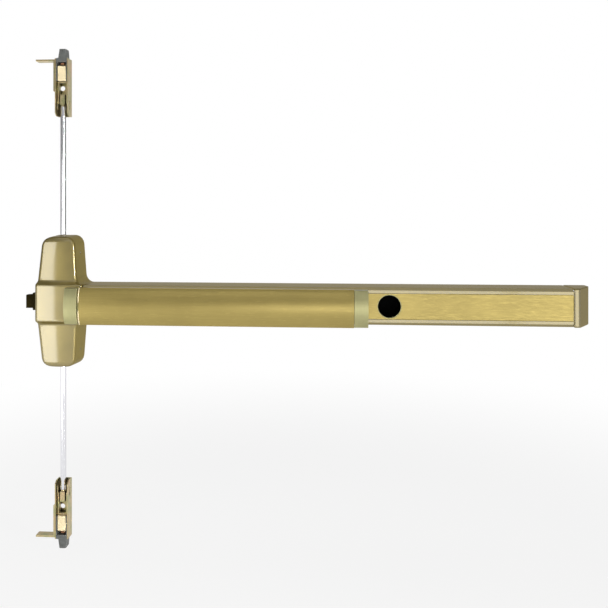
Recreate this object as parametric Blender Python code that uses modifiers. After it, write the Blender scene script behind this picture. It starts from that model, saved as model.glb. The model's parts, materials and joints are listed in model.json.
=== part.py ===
"""Exit device with a push bar, a rim latch and two concealed vertical rods.

The door face is the plane Y = 0, the room is at -Y and the door's inside at +Y.
X = 0 is the centre case's middle line, Z = 0 the push bar's middle line.
"""

import math

import bmesh
import bpy
from mathutils import Matrix

MM = 0.001

# Clearances and walls shared by several pieces
GAP = 0.3 * MM
CUT_PAST = 1.0 * MM
ROUND_STEPS = 20
FINE_STEPS = 32
SMALL_STEPS = 12
ROD_STEPS = 24
CROWN_STEPS = 12
INNER_CROWN_STEPS = 8
COIL_STEPS = 8
COVER_FACE_STEPS = 4

# Push bar stroke and the bell cranks that turn it into a pull
BAR_TRAVEL = 19.0 * MM
INPUT_ARM = 28.0 * MM
OUTPUT_ARM = 20.7 * MM
HALF_SWING = math.asin(BAR_TRAVEL / 2 / INPUT_ARM)
LINK_TRAVEL = 2 * OUTPUT_ARM * math.sin(HALF_SWING)
ARM_PIN_RADIUS = 2.5 * MM
HUB_PIN_RADIUS = 3.0 * MM
CRANK_THICKNESS = 3.0 * MM
CRANK_AXIS_DEPTH = 26.0 * MM

# Centre case cover
COVER_HALF_HEIGHT = 105.3 * MM
COVER_WALL = 2.5 * MM
COVER_CORNER = 14.0 * MM
COVER_TOP_ROUND = 6.5 * MM
COVER_END_DRAFT = 2.4 * MM
COVER_EDGE_ROUND = 5.0 * MM
COVER_CROWN = 1.4 * MM
COVER_SIDE_DRAFT = 0.5 * MM
WING_ROOT_HALF_WIDTH = 31.9 * MM
WING_TIP_HALF_WIDTH = 26.8 * MM
WING_ROOT_DEPTH = 52.0 * MM
WING_TIP_DEPTH = 46.0 * MM
WING_ROOT_Z = 36.7 * MM
BAND_DEPTH = 60.3 * MM
BAND_FLAT_Z = 25.5 * MM
BAND_LEFT = 33.5 * MM
COVER_STEP_TURNS = (0, 0.02, 0.08, 0.18, 0.32, 0.5, 0.68, 0.82, 0.92, 0.98, 1)
COVER_TIP_ANGLES = (0, 20, 38, 54, 68, 79, 90)
COVER_EDGE_ANGLES = (0, 22, 45, 67, 90)
COVER_SCREW_INSET = 27.6 * MM
COVER_SCREW_Z = COVER_HALF_HEIGHT - COVER_SCREW_INSET
COVER_SCREW_DEPTH = 21.5 * MM
COVER_SCREW_RADIUS = 1.5 * MM

# Mechanism case, a square extrusion open to the front
CASE_START = 44.2 * MM
CASE_LENGTH = 747.6 * MM
CASE_END = CASE_START + CASE_LENGTH
CASE_HALF_HEIGHT = 28.6 * MM
CASE_DEPTH = 57.15 * MM
CASE_WALL = 2.5 * MM
CASE_EDGE = 4.1 * MM
CASE_OPENING_HALF = 19.8 * MM

# Push bar and its two trims
BAR_START = 50.8 * MM
BAR_LENGTH = 414.7 * MM
BAR_END = BAR_START + BAR_LENGTH
LEFT_CRANK_INSET = 44.2 * MM
RIGHT_CRANK_INSET = 80.5 * MM
CRANK_X = {"left": BAR_START + LEFT_CRANK_INSET, "right": BAR_END - RIGHT_CRANK_INSET}
BAR_HALF_HEIGHT = 28.3 * MM
BAR_PROJECTION = 97.0 * MM
BAR_CROWN = 6.0 * MM
BAR_CREASE = 1.5 * MM
BAR_SKIRT = 17.5 * MM
BAR_WALL = 2.0 * MM
BAR_LEG_INNER = 16.3 * MM
BAR_LEG_WALL = 1.6 * MM
BAR_LEG_DEPTH = 40.0 * MM
TRIM_PROUD = 0.6 * MM
TRIM_INSET = 0.7 * MM
TRIM_SKIRT = 16.2 * MM
TRIM_WALL = 2.0 * MM
LEFT_TRIM_WIDTH = 20.2 * MM
LEFT_TRIM_SPACE = 3.2 * MM
RIGHT_TRIM_WIDTH = 20.4 * MM
TRIM_TONGUE = 16.0 * MM
TRIM_TONGUE_HALF = 15.0 * MM
TRIM_TONGUE_THICKNESS = 2.5 * MM
PAD_EAR_INNER = 3.0 * MM
PAD_EAR_WALL = 2.5 * MM
PAD_WIDTH = 14.0 * MM
PAD_EAR_MARGIN = 3.8 * MM

# Cover plate with the dogging cylinder's hole
PLATE_START = BAR_END + GAP + RIGHT_TRIM_WIDTH
CYLINDER_INSET = 33.5 * MM
CYLINDER_X = PLATE_START + CYLINDER_INSET
CYLINDER_RADIUS = 18.2 * MM
CUP_WALL = 1.5 * MM
CUP_FLOOR = 2.0 * MM
PLATE_LIP = 3.2 * MM
PLATE_THICKNESS = 2.0 * MM

# End cap
END_CAP_FRONT = 8.6 * MM
END_CAP_BACK = 34.1 * MM
END_CAP_SIDE = 18.8 * MM
END_CAP_PROUD = 0.7 * MM
END_CAP_WALL = 2.2 * MM
END_CAP_ROUND = 2.6 * MM
END_BRACKET_LAP = 30.0 * MM
END_BRACKET_HALF = 12.0 * MM

# Base plate behind the centre case
PLATE_STEEL = 3.5 * MM
TONGUE_STEEL = 3.0 * MM
TONGUE_START = 29.5 * MM
TONGUE_LENGTH = 45.5 * MM
TONGUE_HALF = 20.0 * MM
EAR_STEEL = 2.0 * MM
SCREW_EAR_HALF = 4.5 * MM

# Screws that hold brackets to the case back
SCREW_RADIUS = 2.0 * MM
SCREW_HEAD_RADIUS = 3.4 * MM
SCREW_HEAD_HEIGHT = 2.0 * MM
BRACKET_STEEL = 2.0 * MM
BRACKET_FLANGE_HALF = 14.0 * MM
BRACKET_SCREW_Z = 9.8 * MM
BRACKET_LENGTH = 14.0 * MM
BRACKET_EAR_MARGIN = 7.0 * MM

# Draw link along the case, with its return spring
LINK_STEEL = 2.5 * MM
LINK_Z = 6.0 * MM
LINK_EDGE_MARGIN = 2.0 * MM
LINK_END_MARGIN = 7.0 * MM
LINK_LEFT = 9.0 * MM
LINK_RISER = 7.0 * MM
LINK_TAB_LOW = 12.0 * MM
LINK_TAB_HIGH = 27.0 * MM
LINK_TAB_SIDE = 7.0 * MM
SPRING_LENGTH = 39.5 * MM
SPRING_RADIUS = 2.3 * MM
SPRING_WIRE = 0.5 * MM
SPRING_TURNS = 8
SPRING_POST = 6.6 * MM
SPRING_STOP_BACK = 13.0 * MM

# Centre crank on its stud
STUD_RADIUS = 4.0 * MM
STUD_HEAD_RADIUS = 5.0 * MM
STUD_HEAD_HEIGHT = 1.7 * MM
STUD_COLLAR_RADIUS = 6.0 * MM
HUB_RADIUS = 6.5 * MM
ROD_ARM = 20.7 * MM
ARM_END_RADIUS = 5.0 * MM
SLIDE_STEEL = 3.0 * MM
ARM_CLEARANCE = 0.5 * MM

# Rim latch bolt
LATCH_TRAVEL = 19.0 * MM
LATCH_ARM = LATCH_TRAVEL / 2 / math.sin(HALF_SWING)
LATCH_TIP = 55.0 * MM
LATCH_SHOULDER = 44.0 * MM
LATCH_BODY_END = 27.0 * MM
LATCH_LEG_END = 23.5 * MM
LATCH_LEG_INNER = 8.0 * MM
LATCH_NOSE_HALF = 10.5 * MM
LATCH_BODY_HALF = 13.8 * MM
LATCH_FRONT = 37.7 * MM
LATCH_BACK = 22.3 * MM
LATCH_BEVEL = 5.0 * MM
LATCH_LUG_FRONT = 34.8 * MM
LATCH_LUG_BACK = 31.8 * MM
LATCH_ARM_BACK = 28.5 * MM
LATCH_LUG_HALF = 5.5 * MM
LATCH_EAR_X = 28.6 * MM
LATCH_EAR_HALF = 19.0 * MM
LATCH_EAR_DEPTH = 41.0 * MM

# Rods inside the door, and the slides that move them
ROD_X = -12.0 * MM
ROD_Y = 12.0 * MM
ROD_RADIUS = 4.75 * MM
ROD_END_Z = 46.0 * MM
ROD_SHOULDER_Z = 317.3 * MM
ROD_STUD_RADIUS = 2.3 * MM
SLIDE_EYE_NEAR = 13.0 * MM
SLIDE_EYE_MARGIN = 2.5 * MM
SLIDE_EYE_HALF = 5.8 * MM
SLIDE_BAR_WIDTH = 8.0 * MM
SLIDE_TOP_Z = 58.0 * MM
SLIDE_LUG_HEIGHT = 8.0 * MM
SLIDE_LUG_HALF = 4.0 * MM
SLIDE_FOOT_MARGIN = 1.5 * MM
ROD_BLOCK_WALL = 1.75 * MM

# Rod latches at the door's top and bottom edges
LATCH_CASE_HALF = 11.0 * MM
LATCH_CASE_WALL = 1.5 * MM
LATCH_CASE_WEB = 2.0 * MM
LATCH_CASE_FRONT = 2.0 * MM
LATCH_CASE_BACK = 22.0 * MM
LATCH_CASE_CHAMFER = 7.0 * MM
WEB_HOLE_RADIUS = 4.0 * MM
CLEVIS_HALF = 3.9 * MM
CLEVIS_HALF_DEPTH = 4.5 * MM
CROSS_PIN_RADIUS = 1.5 * MM
JAM_NUT_RADIUS = 4.4 * MM
FRAME_STRIP = 2.6 * MM
FRAME_BRIDGE = 2.0 * MM
FRAME_CLEARANCE = 1.1 * MM
FRAME_HALF_DEPTH = 4.0 * MM
BLOCK_HALF = 7.0 * MM
BLOCK_HEIGHT = 25.0 * MM
BLOCK_FRONT = 3.5 * MM
BLOCK_BACK = 17.0 * MM
BLOCK_ROUND = 1.0 * MM
BOLT_LEG = 1.5 * MM
BOLT_TIP_LEFT = -3.4 * MM
BOLT_TIP_RIGHT = 7.2 * MM
BOLT_ROOT_LEFT = -5.6 * MM
BOLT_ROOT_RIGHT = 8.4 * MM
BOLT_FRONT = 3.0 * MM
BOLT_BACK = 18.5 * MM
BOLT_SPRING_RADIUS = 3.6 * MM
BOLT_SPRING_WIRE = 0.65 * MM
BOLT_SPRING_TURNS = 2
ANGLE_STEEL = 3.0 * MM
ANGLE_REACH = 44.0 * MM
ANGLE_FRONT = 4.0 * MM
ANGLE_BACK = 19.0 * MM
RIVET_RADIUS = 1.8 * MM
RIVET_HEAD_RADIUS = 3.0 * MM
RIVET_HEAD_HEIGHT = 1.2 * MM

# Lengths along a rod latch
CASE_ROD_LAP = 16.0 * MM
JAM_NUT_SPACE = 3.0 * MM
CLEVIS_LENGTH = 17.0 * MM
CROSS_PIN_RISE = 8.0 * MM
FRAME_PIN_MARGIN = 6.0 * MM
FRAME_LENGTH = 36.4 * MM
BOLT_SPRING_SPACE = 6.3 * MM
BOLT_SHOULDER_HEIGHT = 6.8 * MM
BOLT_NOSE_LENGTH = 14.9 * MM
BOLT_SHOULDER_PROUD = 0.5 * MM
WEB_HOLE_INSET = 47.5 * MM
WEB_HOLE_SIDE = 3.9 * MM
ANGLE_INSET = 1.5 * MM
ANGLE_LENGTH = 53.0 * MM
ANGLE_RIVET_INSET = 28.0 * MM

# Heights along a rod latch, each from the one before, outward from the rod's shoulder
LATCH_CASE_INNER_Z = ROD_SHOULDER_Z - CASE_ROD_LAP
CLEVIS_LOW = ROD_SHOULDER_Z + JAM_NUT_SPACE
CLEVIS_HIGH = CLEVIS_LOW + CLEVIS_LENGTH
CROSS_PIN_Z = CLEVIS_LOW + CROSS_PIN_RISE
FRAME_LOW = CROSS_PIN_Z - FRAME_PIN_MARGIN
FRAME_HIGH = FRAME_LOW + FRAME_LENGTH
BOLT_SHOULDER_LOW = FRAME_HIGH + GAP + BLOCK_HEIGHT + BOLT_SPRING_SPACE
BOLT_SHOULDER_HIGH = BOLT_SHOULDER_LOW + BOLT_SHOULDER_HEIGHT
BOLT_TIP_Z = BOLT_SHOULDER_HIGH + BOLT_NOSE_LENGTH
LATCH_CASE_OUTER_Z = BOLT_SHOULDER_HIGH - BOLT_SHOULDER_PROUD
WEB_HOLE_Z = LATCH_CASE_OUTER_Z - WEB_HOLE_INSET
ANGLE_HIGH = LATCH_CASE_OUTER_Z - ANGLE_INSET
ANGLE_LOW = ANGLE_HIGH - ANGLE_LENGTH
ANGLE_RIVET_Z = ANGLE_HIGH - ANGLE_RIVET_INSET

# Depths that follow from the sizes above
CASE_FLOOR = -(CASE_WALL + GAP)
PIN_SLOT = ARM_PIN_RADIUS + GAP
INPUT_REST = (INPUT_ARM * math.cos(HALF_SWING), -INPUT_ARM * math.sin(HALF_SWING))
OUTPUT_REST = (-OUTPUT_ARM * math.sin(HALF_SWING), -OUTPUT_ARM * math.cos(HALF_SWING))
LINK_FRONT = -(CRANK_AXIS_DEPTH + OUTPUT_ARM + PIN_SLOT + LINK_EDGE_MARGIN)
LINK_BACK = -CRANK_AXIS_DEPTH + OUTPUT_REST[1] + PIN_SLOT + LINK_EDGE_MARGIN
LINK_TOP = LINK_Z + LINK_STEEL
SLIDE_BACK = -(PLATE_STEEL + GAP)
SLIDE_FRONT = SLIDE_BACK - SLIDE_STEEL
ROD_ARM_BACK = SLIDE_FRONT - ARM_CLEARANCE
FRONT_ARM_FRONT = LINK_FRONT + LINK_STEEL + GAP
HUB_BACK = SLIDE_FRONT - GAP
STUD_HEAD_BACK = FRONT_ARM_FRONT - GAP
SPRING_Z = LINK_TOP + SPRING_RADIUS + SPRING_WIRE + 2 * GAP
SPRING_Y = (LINK_FRONT + LINK_BACK) / 2

MATERIALS = {
    "satin_bronze": ((0.42, 0.33, 0.11), 0.38, 0.9),
    "brushed_bronze": ((0.46, 0.36, 0.13), 0.34, 0.9),
    "trim_bronze": ((0.47, 0.43, 0.20), 0.4, 0.8),
    "latch_dark": ((0.035, 0.028, 0.015), 0.42, 0.7),
    "steel": ((0.55, 0.56, 0.57), 0.3, 1.0),
    "dull_steel": ((0.38, 0.38, 0.37), 0.5, 0.9),
    "yellow_zinc": ((0.52, 0.42, 0.22), 0.36, 0.9),
    "bolt_grey": ((0.13, 0.135, 0.13), 0.5, 0.6),
    "pale_block": ((0.86, 0.74, 0.48), 0.45, 0.1),
    "copper_spring": ((0.55, 0.26, 0.14), 0.35, 1.0),
    "black": ((0.01, 0.01, 0.01), 0.6, 0.0),
}

# Turns that carry an outline's plane, and its normal, onto the frame's axes
AXIS_TURN = {
    "X": (math.radians(90), 0, math.radians(90)),
    "Y": (math.radians(90), 0, 0),
    "Z": (0, 0, 0),
}


def clear_scene():
    for old in list(bpy.data.objects):
        bpy.data.objects.remove(old)


def make_collections():
    for name in ("vertical_rod_exit_device", "cutters"):
        collection = bpy.data.collections.new(name)
        bpy.context.scene.collection.children.link(collection)


def make_materials():
    for name, (colour, roughness, metallic) in MATERIALS.items():
        material = bpy.data.materials.new(name)
        material.use_nodes = True
        shader = material.node_tree.nodes["Principled BSDF"]
        shader.inputs["Base Color"].default_value = (*colour, 1)
        shader.inputs["Roughness"].default_value = roughness
        shader.inputs["Metallic"].default_value = metallic


def add_object(name, data, material):
    """Links a piece to the object's collection, or a cutter when it has no material."""
    piece = bpy.data.objects.new(name, data)
    if material:
        data.materials.append(bpy.data.materials[material])
        bpy.data.collections["vertical_rod_exit_device"].objects.link(piece)
    else:
        bpy.data.collections["cutters"].objects.link(piece)
        piece.hide_render = True
        piece.display_type = "WIRE"
    return piece


def finish_mesh(mesh):
    """Welds a mesh, points its faces out and shades its round faces smooth."""
    bm = bmesh.new()
    bm.from_mesh(mesh)
    bmesh.ops.remove_doubles(bm, verts=bm.verts, dist=1e-6)
    bmesh.ops.recalc_face_normals(bm, faces=bm.faces)
    bm.to_mesh(mesh)
    bm.free()
    mesh.shade_smooth()
    mesh.set_sharp_from_angle(angle=math.radians(35))


def extruded(name, outlines, start, end, axis, material=None):
    """A flat outline, with any holes after it, carried along an axis from start to end."""
    curve = bpy.data.curves.new(name + "_outline", "CURVE")
    curve.dimensions = "2D"
    curve.fill_mode = "BOTH"
    curve.extrude = abs(end - start) / 2
    for outline in outlines:
        spline = curve.splines.new("POLY")
        spline.points.add(len(outline) - 1)
        for point, (across, up) in zip(spline.points, outline):
            point.co = (across, up, 0, 1)
        spline.use_cyclic_u = True
    guide = add_object(name + "_outline", curve, None)
    guide.rotation_euler = AXIS_TURN[axis]
    guide.location["XYZ".index(axis)] = (start + end) / 2
    bpy.context.view_layer.update()
    graph = bpy.context.evaluated_depsgraph_get()
    mesh = bpy.data.meshes.new_from_object(guide.evaluated_get(graph))
    finish_mesh(mesh)
    piece = add_object(name, mesh, material)
    piece.matrix_world = guide.matrix_world
    bpy.data.objects.remove(guide)
    return piece


def box(name, low, high, material=None):
    """A block between two opposite corners."""
    bm = bmesh.new()
    bmesh.ops.create_cube(bm, size=1)
    size = [b - a for a, b in zip(low, high)]
    middle = [(a + b) / 2 for a, b in zip(low, high)]
    bmesh.ops.scale(bm, vec=size, verts=bm.verts)
    mesh = bpy.data.meshes.new(name)
    bm.to_mesh(mesh)
    bm.free()
    piece = add_object(name, mesh, material)
    piece.location = middle
    return piece


def cylinder(name, radius, centre, start, end, axis, material=None, steps=ROUND_STEPS):
    """A round bar along an axis; centre holds its place on the outline's plane."""
    return extruded(name, [circle(centre, radius, steps)], start, end, axis, material)


def turned(name, profile, origin, turn, material, steps=ROUND_STEPS):
    """A turned piece: radius and height pairs from its top end to its bottom end."""
    mesh = bpy.data.meshes.new(name)
    edges = [(n, n + 1) for n in range(len(profile) - 1)]
    mesh.from_pydata([(radius, 0, height) for radius, height in profile], edges, [])
    piece = add_object(name, mesh, material)
    piece.location = origin
    piece.rotation_euler = turn
    screw = piece.modifiers.new("turn", "SCREW")
    screw.steps = steps
    screw.render_steps = steps
    screw.use_merge_vertices = True
    screw.merge_threshold = 1e-6
    screw.use_smooth_shade = True
    return piece


def coil(name, radius, wire, turns, start, end, axis_line, material, axis):
    """A coil spring whose wire stays between start and end along its axis."""
    count = turns * COIL_STEPS + 1
    curve = bpy.data.curves.new(name, "CURVE")
    curve.dimensions = "3D"
    curve.bevel_depth = wire
    curve.bevel_resolution = 1
    curve.use_fill_caps = True
    spline = curve.splines.new("POLY")
    spline.points.add(count - 1)
    for n, point in enumerate(spline.points):
        angle = 2 * math.pi * n / COIL_STEPS
        along = start + wire + (end - start - 2 * wire) * n / (count - 1)
        first = axis_line[0] + radius * math.cos(angle)
        second = axis_line[1] + radius * math.sin(angle)
        place = (along, first, second) if axis == "X" else (first, second, along)
        point.co = (*place, 1)
    return add_object(name, curve, material)


def circle(centre, radius, steps=ROUND_STEPS):
    turns = [2 * math.pi * n / steps for n in range(steps)]
    return [(centre[0] + radius * math.cos(a), centre[1] + radius * math.sin(a)) for a in turns]


def hull(points):
    """The convex outline around points in a plane, anticlockwise."""
    ordered = sorted(set(points))
    chains = []
    for run in (ordered, ordered[::-1]):
        chain = []
        for point in run:
            while len(chain) > 1 and turns_right(chain[-2], chain[-1], point):
                chain.pop()
            chain.append(point)
        chains.append(chain[:-1])
    return chains[0] + chains[1]


def turns_right(a, b, c):
    return (b[0] - a[0]) * (c[1] - a[1]) - (b[1] - a[1]) * (c[0] - a[0]) <= 1e-12


def rounded_plate(*rounds):
    """The outline that a belt takes around circles, each a centre and a radius."""
    return hull([p for centre, radius in rounds for p in circle(centre, radius)])


def slot(first, last, radius=PIN_SLOT):
    return rounded_plate((first, radius), (last, radius))


def rectangle(left, right, low, high):
    return [(left, low), (right, low), (right, high), (left, high)]


def spread(first, last, steps):
    return [first + (last - first) * n / steps for n in range(steps + 1)]


def boolean(piece, other, operation):
    modifier = piece.modifiers.new(operation.lower(), "BOOLEAN")
    modifier.operation = operation
    modifier.solver = "EXACT"
    modifier.object = other


def cut(piece, *cutters):
    for other in cutters:
        boolean(piece, other, "DIFFERENCE")


def join(piece, *others):
    for other in others:
        boolean(piece, other, "UNION")


def bevel(piece, width, segments=2, angle=40):
    modifier = piece.modifiers.new("bevel", "BEVEL")
    modifier.width = width
    modifier.segments = segments
    modifier.limit_method = "ANGLE"
    modifier.angle_limit = math.radians(angle)
    modifier.harden_normals = False


def turn_about(objects, centre, angle, axis):
    """Turns objects about a line through centre, to where the joint rests."""
    bpy.context.view_layer.update()
    shift = Matrix.Translation(centre)
    turn = shift @ Matrix.Rotation(angle, 4, axis) @ shift.inverted()
    for piece in objects:
        piece.matrix_world = turn @ piece.matrix_world


def carry(name, origin, pieces):
    """Parents the pieces that move together to an empty on their joint."""
    empty = bpy.data.objects.new(name, None)
    empty.location = origin
    bpy.data.collections["vertical_rod_exit_device"].objects.link(empty)
    bpy.context.view_layer.update()
    for piece in pieces:
        piece.parent = empty
        piece.matrix_parent_inverse = empty.matrix_world.inverted()


def screw_in(name, place, head_at, tail_at, turn, radius=SCREW_RADIUS, head=SCREW_HEAD_RADIUS,
             height=SCREW_HEAD_HEIGHT, material="dull_steel"):
    """A screw or rivet along its own Z: its tail below, its head from head_at upward."""
    profile = [
        (0, head_at + height),
        (head, head_at + height),
        (head, head_at),
        (radius, head_at),
        (radius, tail_at),
        (0, tail_at),
    ]
    return turned(name, profile, place, turn, material, steps=SMALL_STEPS)


# Centre case cover


def half_round(t):
    """An S made of two quarter rounds, from 0 to 1."""
    if t <= 0:
        return 0.0
    if t >= 1:
        return 1.0
    if t < 0.5:
        return 0.5 * (1 - math.sqrt(1 - (2 * t) ** 2))
    return 0.5 * (1 + math.sqrt(1 - (2 - 2 * t) ** 2))


def wing_share(z):
    """0 at a wing's root, 1 at its tip."""
    return (abs(z) - WING_ROOT_Z) / (COVER_HALF_HEIGHT - WING_ROOT_Z)


def wing_half_width(z):
    share = wing_share(z)
    return WING_ROOT_HALF_WIDTH + (WING_TIP_HALF_WIDTH - WING_ROOT_HALF_WIDTH) * share


def round_loss(z, end, radius):
    """How far a corner of this radius, ending at end, has turned in at height z."""
    past = abs(z) - (end - radius)
    if past <= 0:
        return 0.0
    return radius - math.sqrt(max(radius ** 2 - past ** 2, 0))


def cover_side(z, inset, side):
    """The cover's half width at the door face, left (-1) or right (1)."""
    end = COVER_HALF_HEIGHT - inset
    wing = wing_half_width(z) - round_loss(z, end, COVER_CORNER - inset)
    if side < 0:
        rise = (WING_ROOT_Z - abs(z)) / (WING_ROOT_Z - BAND_FLAT_Z)
        return wing + (BAND_LEFT - wing) * half_round(rise) - inset
    meet = CASE_START - GAP
    flare_start = WING_ROOT_Z + COVER_EDGE_ROUND
    run = (flare_start - abs(z)) / (flare_start - CASE_HALF_HEIGHT)
    run = min(max(run, 0), 1)
    return wing + (meet - wing) * (1 - math.sqrt(1 - run ** 2)) - inset


def cover_depth(z, inset):
    wing = WING_ROOT_DEPTH + (WING_TIP_DEPTH - WING_ROOT_DEPTH) * wing_share(z)
    rise = (WING_ROOT_Z - abs(z)) / (WING_ROOT_Z - BAND_FLAT_Z)
    full = wing + (BAND_DEPTH - wing) * half_round(rise)
    end = COVER_HALF_HEIGHT - inset
    return full - inset - round_loss(z, end, COVER_TOP_ROUND)


def cover_edge_depth(z, inset):
    """The front's depth where its crown meets the rounded edges."""
    return cover_depth(z, inset) - COVER_CROWN


def cover_levels(inset):
    """Heights of the cover's sections, close together where its form turns."""
    step = [WING_ROOT_Z + (BAND_FLAT_Z - WING_ROOT_Z) * t for t in COVER_STEP_TURNS]
    flare = [WING_ROOT_Z + COVER_EDGE_ROUND, WING_ROOT_Z + COVER_EDGE_ROUND / 2]
    end = COVER_HALF_HEIGHT - inset
    corner = COVER_CORNER - inset
    angles = [math.radians(a) for a in COVER_TIP_ANGLES]
    tips = [end - corner + corner * math.sin(a) for a in angles]
    upper = sorted(set(step + flare + tips + [CASE_HALF_HEIGHT]))
    return [-z for z in reversed(upper)] + upper


def cover_section(z, inset, back):
    """One level's outline, from the left wall's back around the front to the right's."""
    left = cover_side(z, inset, -1)
    right = cover_side(z, inset, 1)
    depth = cover_edge_depth(z, inset)
    edge = COVER_EDGE_ROUND - inset
    angles = [math.radians(a) for a in COVER_EDGE_ANGLES]
    points = [(-left, back)]
    for a in angles:
        x = -left + COVER_SIDE_DRAFT + edge * (1 - math.cos(a))
        points.append((x, -(depth - edge + edge * math.sin(a))))
    start = -left + COVER_SIDE_DRAFT + edge
    end = right - COVER_SIDE_DRAFT - edge
    for x in spread(start, end, COVER_FACE_STEPS)[1:-1]:
        across = (2 * x - start - end) / (end - start)
        points.append((x, -(depth + COVER_CROWN * (1 - across ** 2))))
    for a in reversed(angles):
        x = right - COVER_SIDE_DRAFT - edge * (1 - math.cos(a))
        points.append((x, -(depth - edge + edge * math.sin(a))))
    points.append((right, back))
    return [(x, y, z - end_lean(y, z)) for x, y in points]


def end_lean(y, z):
    """How far a wing's end leans in towards the front, at a depth and a height."""
    share = max(wing_share(z), 0)
    lean = COVER_END_DRAFT * share * -y / WING_TIP_DEPTH
    return lean if z > 0 else -lean


def cover_form(name, inset, back, material=None):
    """A closed loft through the cover's sections, as large as inset leaves it."""
    bm = bmesh.new()
    rings = []
    for z in cover_levels(inset):
        rings.append([bm.verts.new(p) for p in cover_section(z, inset, back)])
    for low, high in zip(rings, rings[1:]):
        for n in range(len(low)):
            after = (n + 1) % len(low)
            bm.faces.new((low[n], low[after], high[after], high[n]))
    bm.faces.new(rings[0])
    bm.faces.new(reversed(rings[-1]))
    bmesh.ops.recalc_face_normals(bm, faces=bm.faces)
    bmesh.ops.triangulate(bm, faces=bm.faces)
    mesh = bpy.data.meshes.new(name)
    bm.to_mesh(mesh)
    bm.free()
    mesh.shade_smooth()
    mesh.set_sharp_from_angle(angle=math.radians(35))
    return add_object(name, mesh, material)


def wall_inner_x(z, depth):
    """The inside of a wing's side wall at a height and a depth."""
    lean = COVER_SIDE_DRAFT * depth / (cover_edge_depth(z, 0) - COVER_EDGE_ROUND)
    return wing_half_width(z) - COVER_WALL - lean


def cover_screw_holes(name, radius):
    """Four cross holes for the cover's screws, one through each wall."""
    reach = WING_ROOT_HALF_WIDTH + CUT_PAST
    holes = []
    for label, z in (("upper", COVER_SCREW_Z), ("lower", -COVER_SCREW_Z)):
        place = (-COVER_SCREW_DEPTH, z)
        hole = cylinder(f"{name}_{label}", radius, place, -reach, reach, "X", steps=SMALL_STEPS)
        holes.append(hole)
    return holes


def centre_case_cover():
    cover = cover_form("centre_case_cover", 0, 0, "satin_bronze")
    hollow = cover_form("cover_hollow", COVER_WALL, CUT_PAST)
    side_reach = CASE_START + CUT_PAST
    window_start = side_reach - 2 * COVER_WALL - COVER_SIDE_DRAFT - CUT_PAST
    link_window = box(
        "cover_link_window",
        (window_start, LINK_FRONT - 2 * GAP, -TONGUE_HALF - GAP),
        (side_reach, CUT_PAST, TONGUE_HALF + GAP),
    )
    latch_window = box(
        "cover_latch_window",
        (-BAND_LEFT - CUT_PAST, -LATCH_FRONT - GAP, -LATCH_BODY_HALF - GAP),
        (-LATCH_EAR_X, -LATCH_BACK + GAP, LATCH_BODY_HALF + GAP),
    )
    cut(cover, hollow, link_window, latch_window)
    cut(cover, *cover_screw_holes("cover_screw_hole", COVER_SCREW_RADIUS + GAP))
    return cover


def cover_screws():
    """A set screw in each wall, its end just inside the cover's surface."""
    screws = []
    for row, z in (("upper", COVER_SCREW_Z), ("lower", -COVER_SCREW_Z)):
        for label, side in (("left", -1), ("right", 1)):
            inner = wall_inner_x(z, COVER_SCREW_DEPTH)
            ends = sorted((side * (inner + COVER_WALL - GAP), side * (inner - 2 * EAR_STEEL - GAP)))
            screw = cylinder(
                f"cover_screw_{row}_{label}",
                COVER_SCREW_RADIUS,
                (-COVER_SCREW_DEPTH, z),
                *ends,
                "X",
                "dull_steel",
                SMALL_STEPS,
            )
            screws.append(screw)
    return screws


def base_outline():
    """The base plate's outline, just inside the cover's walls."""
    seat = COVER_WALL + GAP
    top = COVER_HALF_HEIGHT - seat
    shoulder = COVER_HALF_HEIGHT - COVER_CORNER
    step = WING_ROOT_Z + COVER_EDGE_ROUND
    band = BAND_FLAT_Z - GAP
    tip_half = WING_TIP_HALF_WIDTH - COVER_CORNER
    flare_half = wing_half_width(CASE_HALF_HEIGHT) - seat
    right = [
        (CASE_START - GAP - seat, band),
        (flare_half, (WING_ROOT_Z + CASE_HALF_HEIGHT) / 2),
        (wing_half_width(step) - seat - GAP, step),
        (wing_half_width(shoulder) - seat - GAP, shoulder),
        (tip_half, top),
    ]
    left = [(-x, z) for x, z in reversed(right[2:])] + [(-BAND_LEFT + seat + GAP, band)]
    upper = right + left
    lower = [(x, -z) for x, z in reversed(upper)]
    return upper + lower


def rod_window(side):
    """The opening in which a slide's lug runs, above (1) or below (-1) the middle."""
    low = SLIDE_TOP_Z - SLIDE_LUG_HEIGHT - LINK_TRAVEL - GAP
    high = SLIDE_TOP_Z + GAP
    half = SLIDE_LUG_HALF + GAP
    return rectangle(ROD_X - half, ROD_X + half, *sorted((side * low, side * high)))


def base_plate():
    outlines = [base_outline(), rod_window(1), rod_window(-1)]
    plate = extruded("base_plate", outlines, -PLATE_STEEL, 0, "Y", "dull_steel")
    tongue = extruded(
        "base_tongue",
        [
            rectangle(TONGUE_START, TONGUE_START + TONGUE_LENGTH, -TONGUE_HALF, TONGUE_HALF),
            circle(tongue_screw_place(1), SCREW_RADIUS + GAP, SMALL_STEPS),
            circle(tongue_screw_place(-1), SCREW_RADIUS + GAP, SMALL_STEPS),
        ],
        CASE_FLOOR - TONGUE_STEEL,
        CASE_FLOOR,
        "Y",
    )
    latch_ear = extruded(
        "base_latch_ear",
        [
            rectangle(-LATCH_EAR_DEPTH, -PLATE_STEEL / 2, -LATCH_EAR_HALF, LATCH_EAR_HALF),
            rectangle(
                -LATCH_FRONT - GAP,
                -LATCH_BACK + GAP,
                -LATCH_BODY_HALF - GAP,
                LATCH_BODY_HALF + GAP,
            ),
        ],
        -LATCH_EAR_X,
        -LATCH_EAR_X + EAR_STEEL,
        "X",
    )
    join(plate, tongue, latch_ear)
    for row, z in (("upper", COVER_SCREW_Z), ("lower", -COVER_SCREW_Z)):
        for label, side in (("left", -1), ("right", 1)):
            join(plate, screw_ear(f"base_ear_{row}_{label}", side, z))
    return plate


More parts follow.
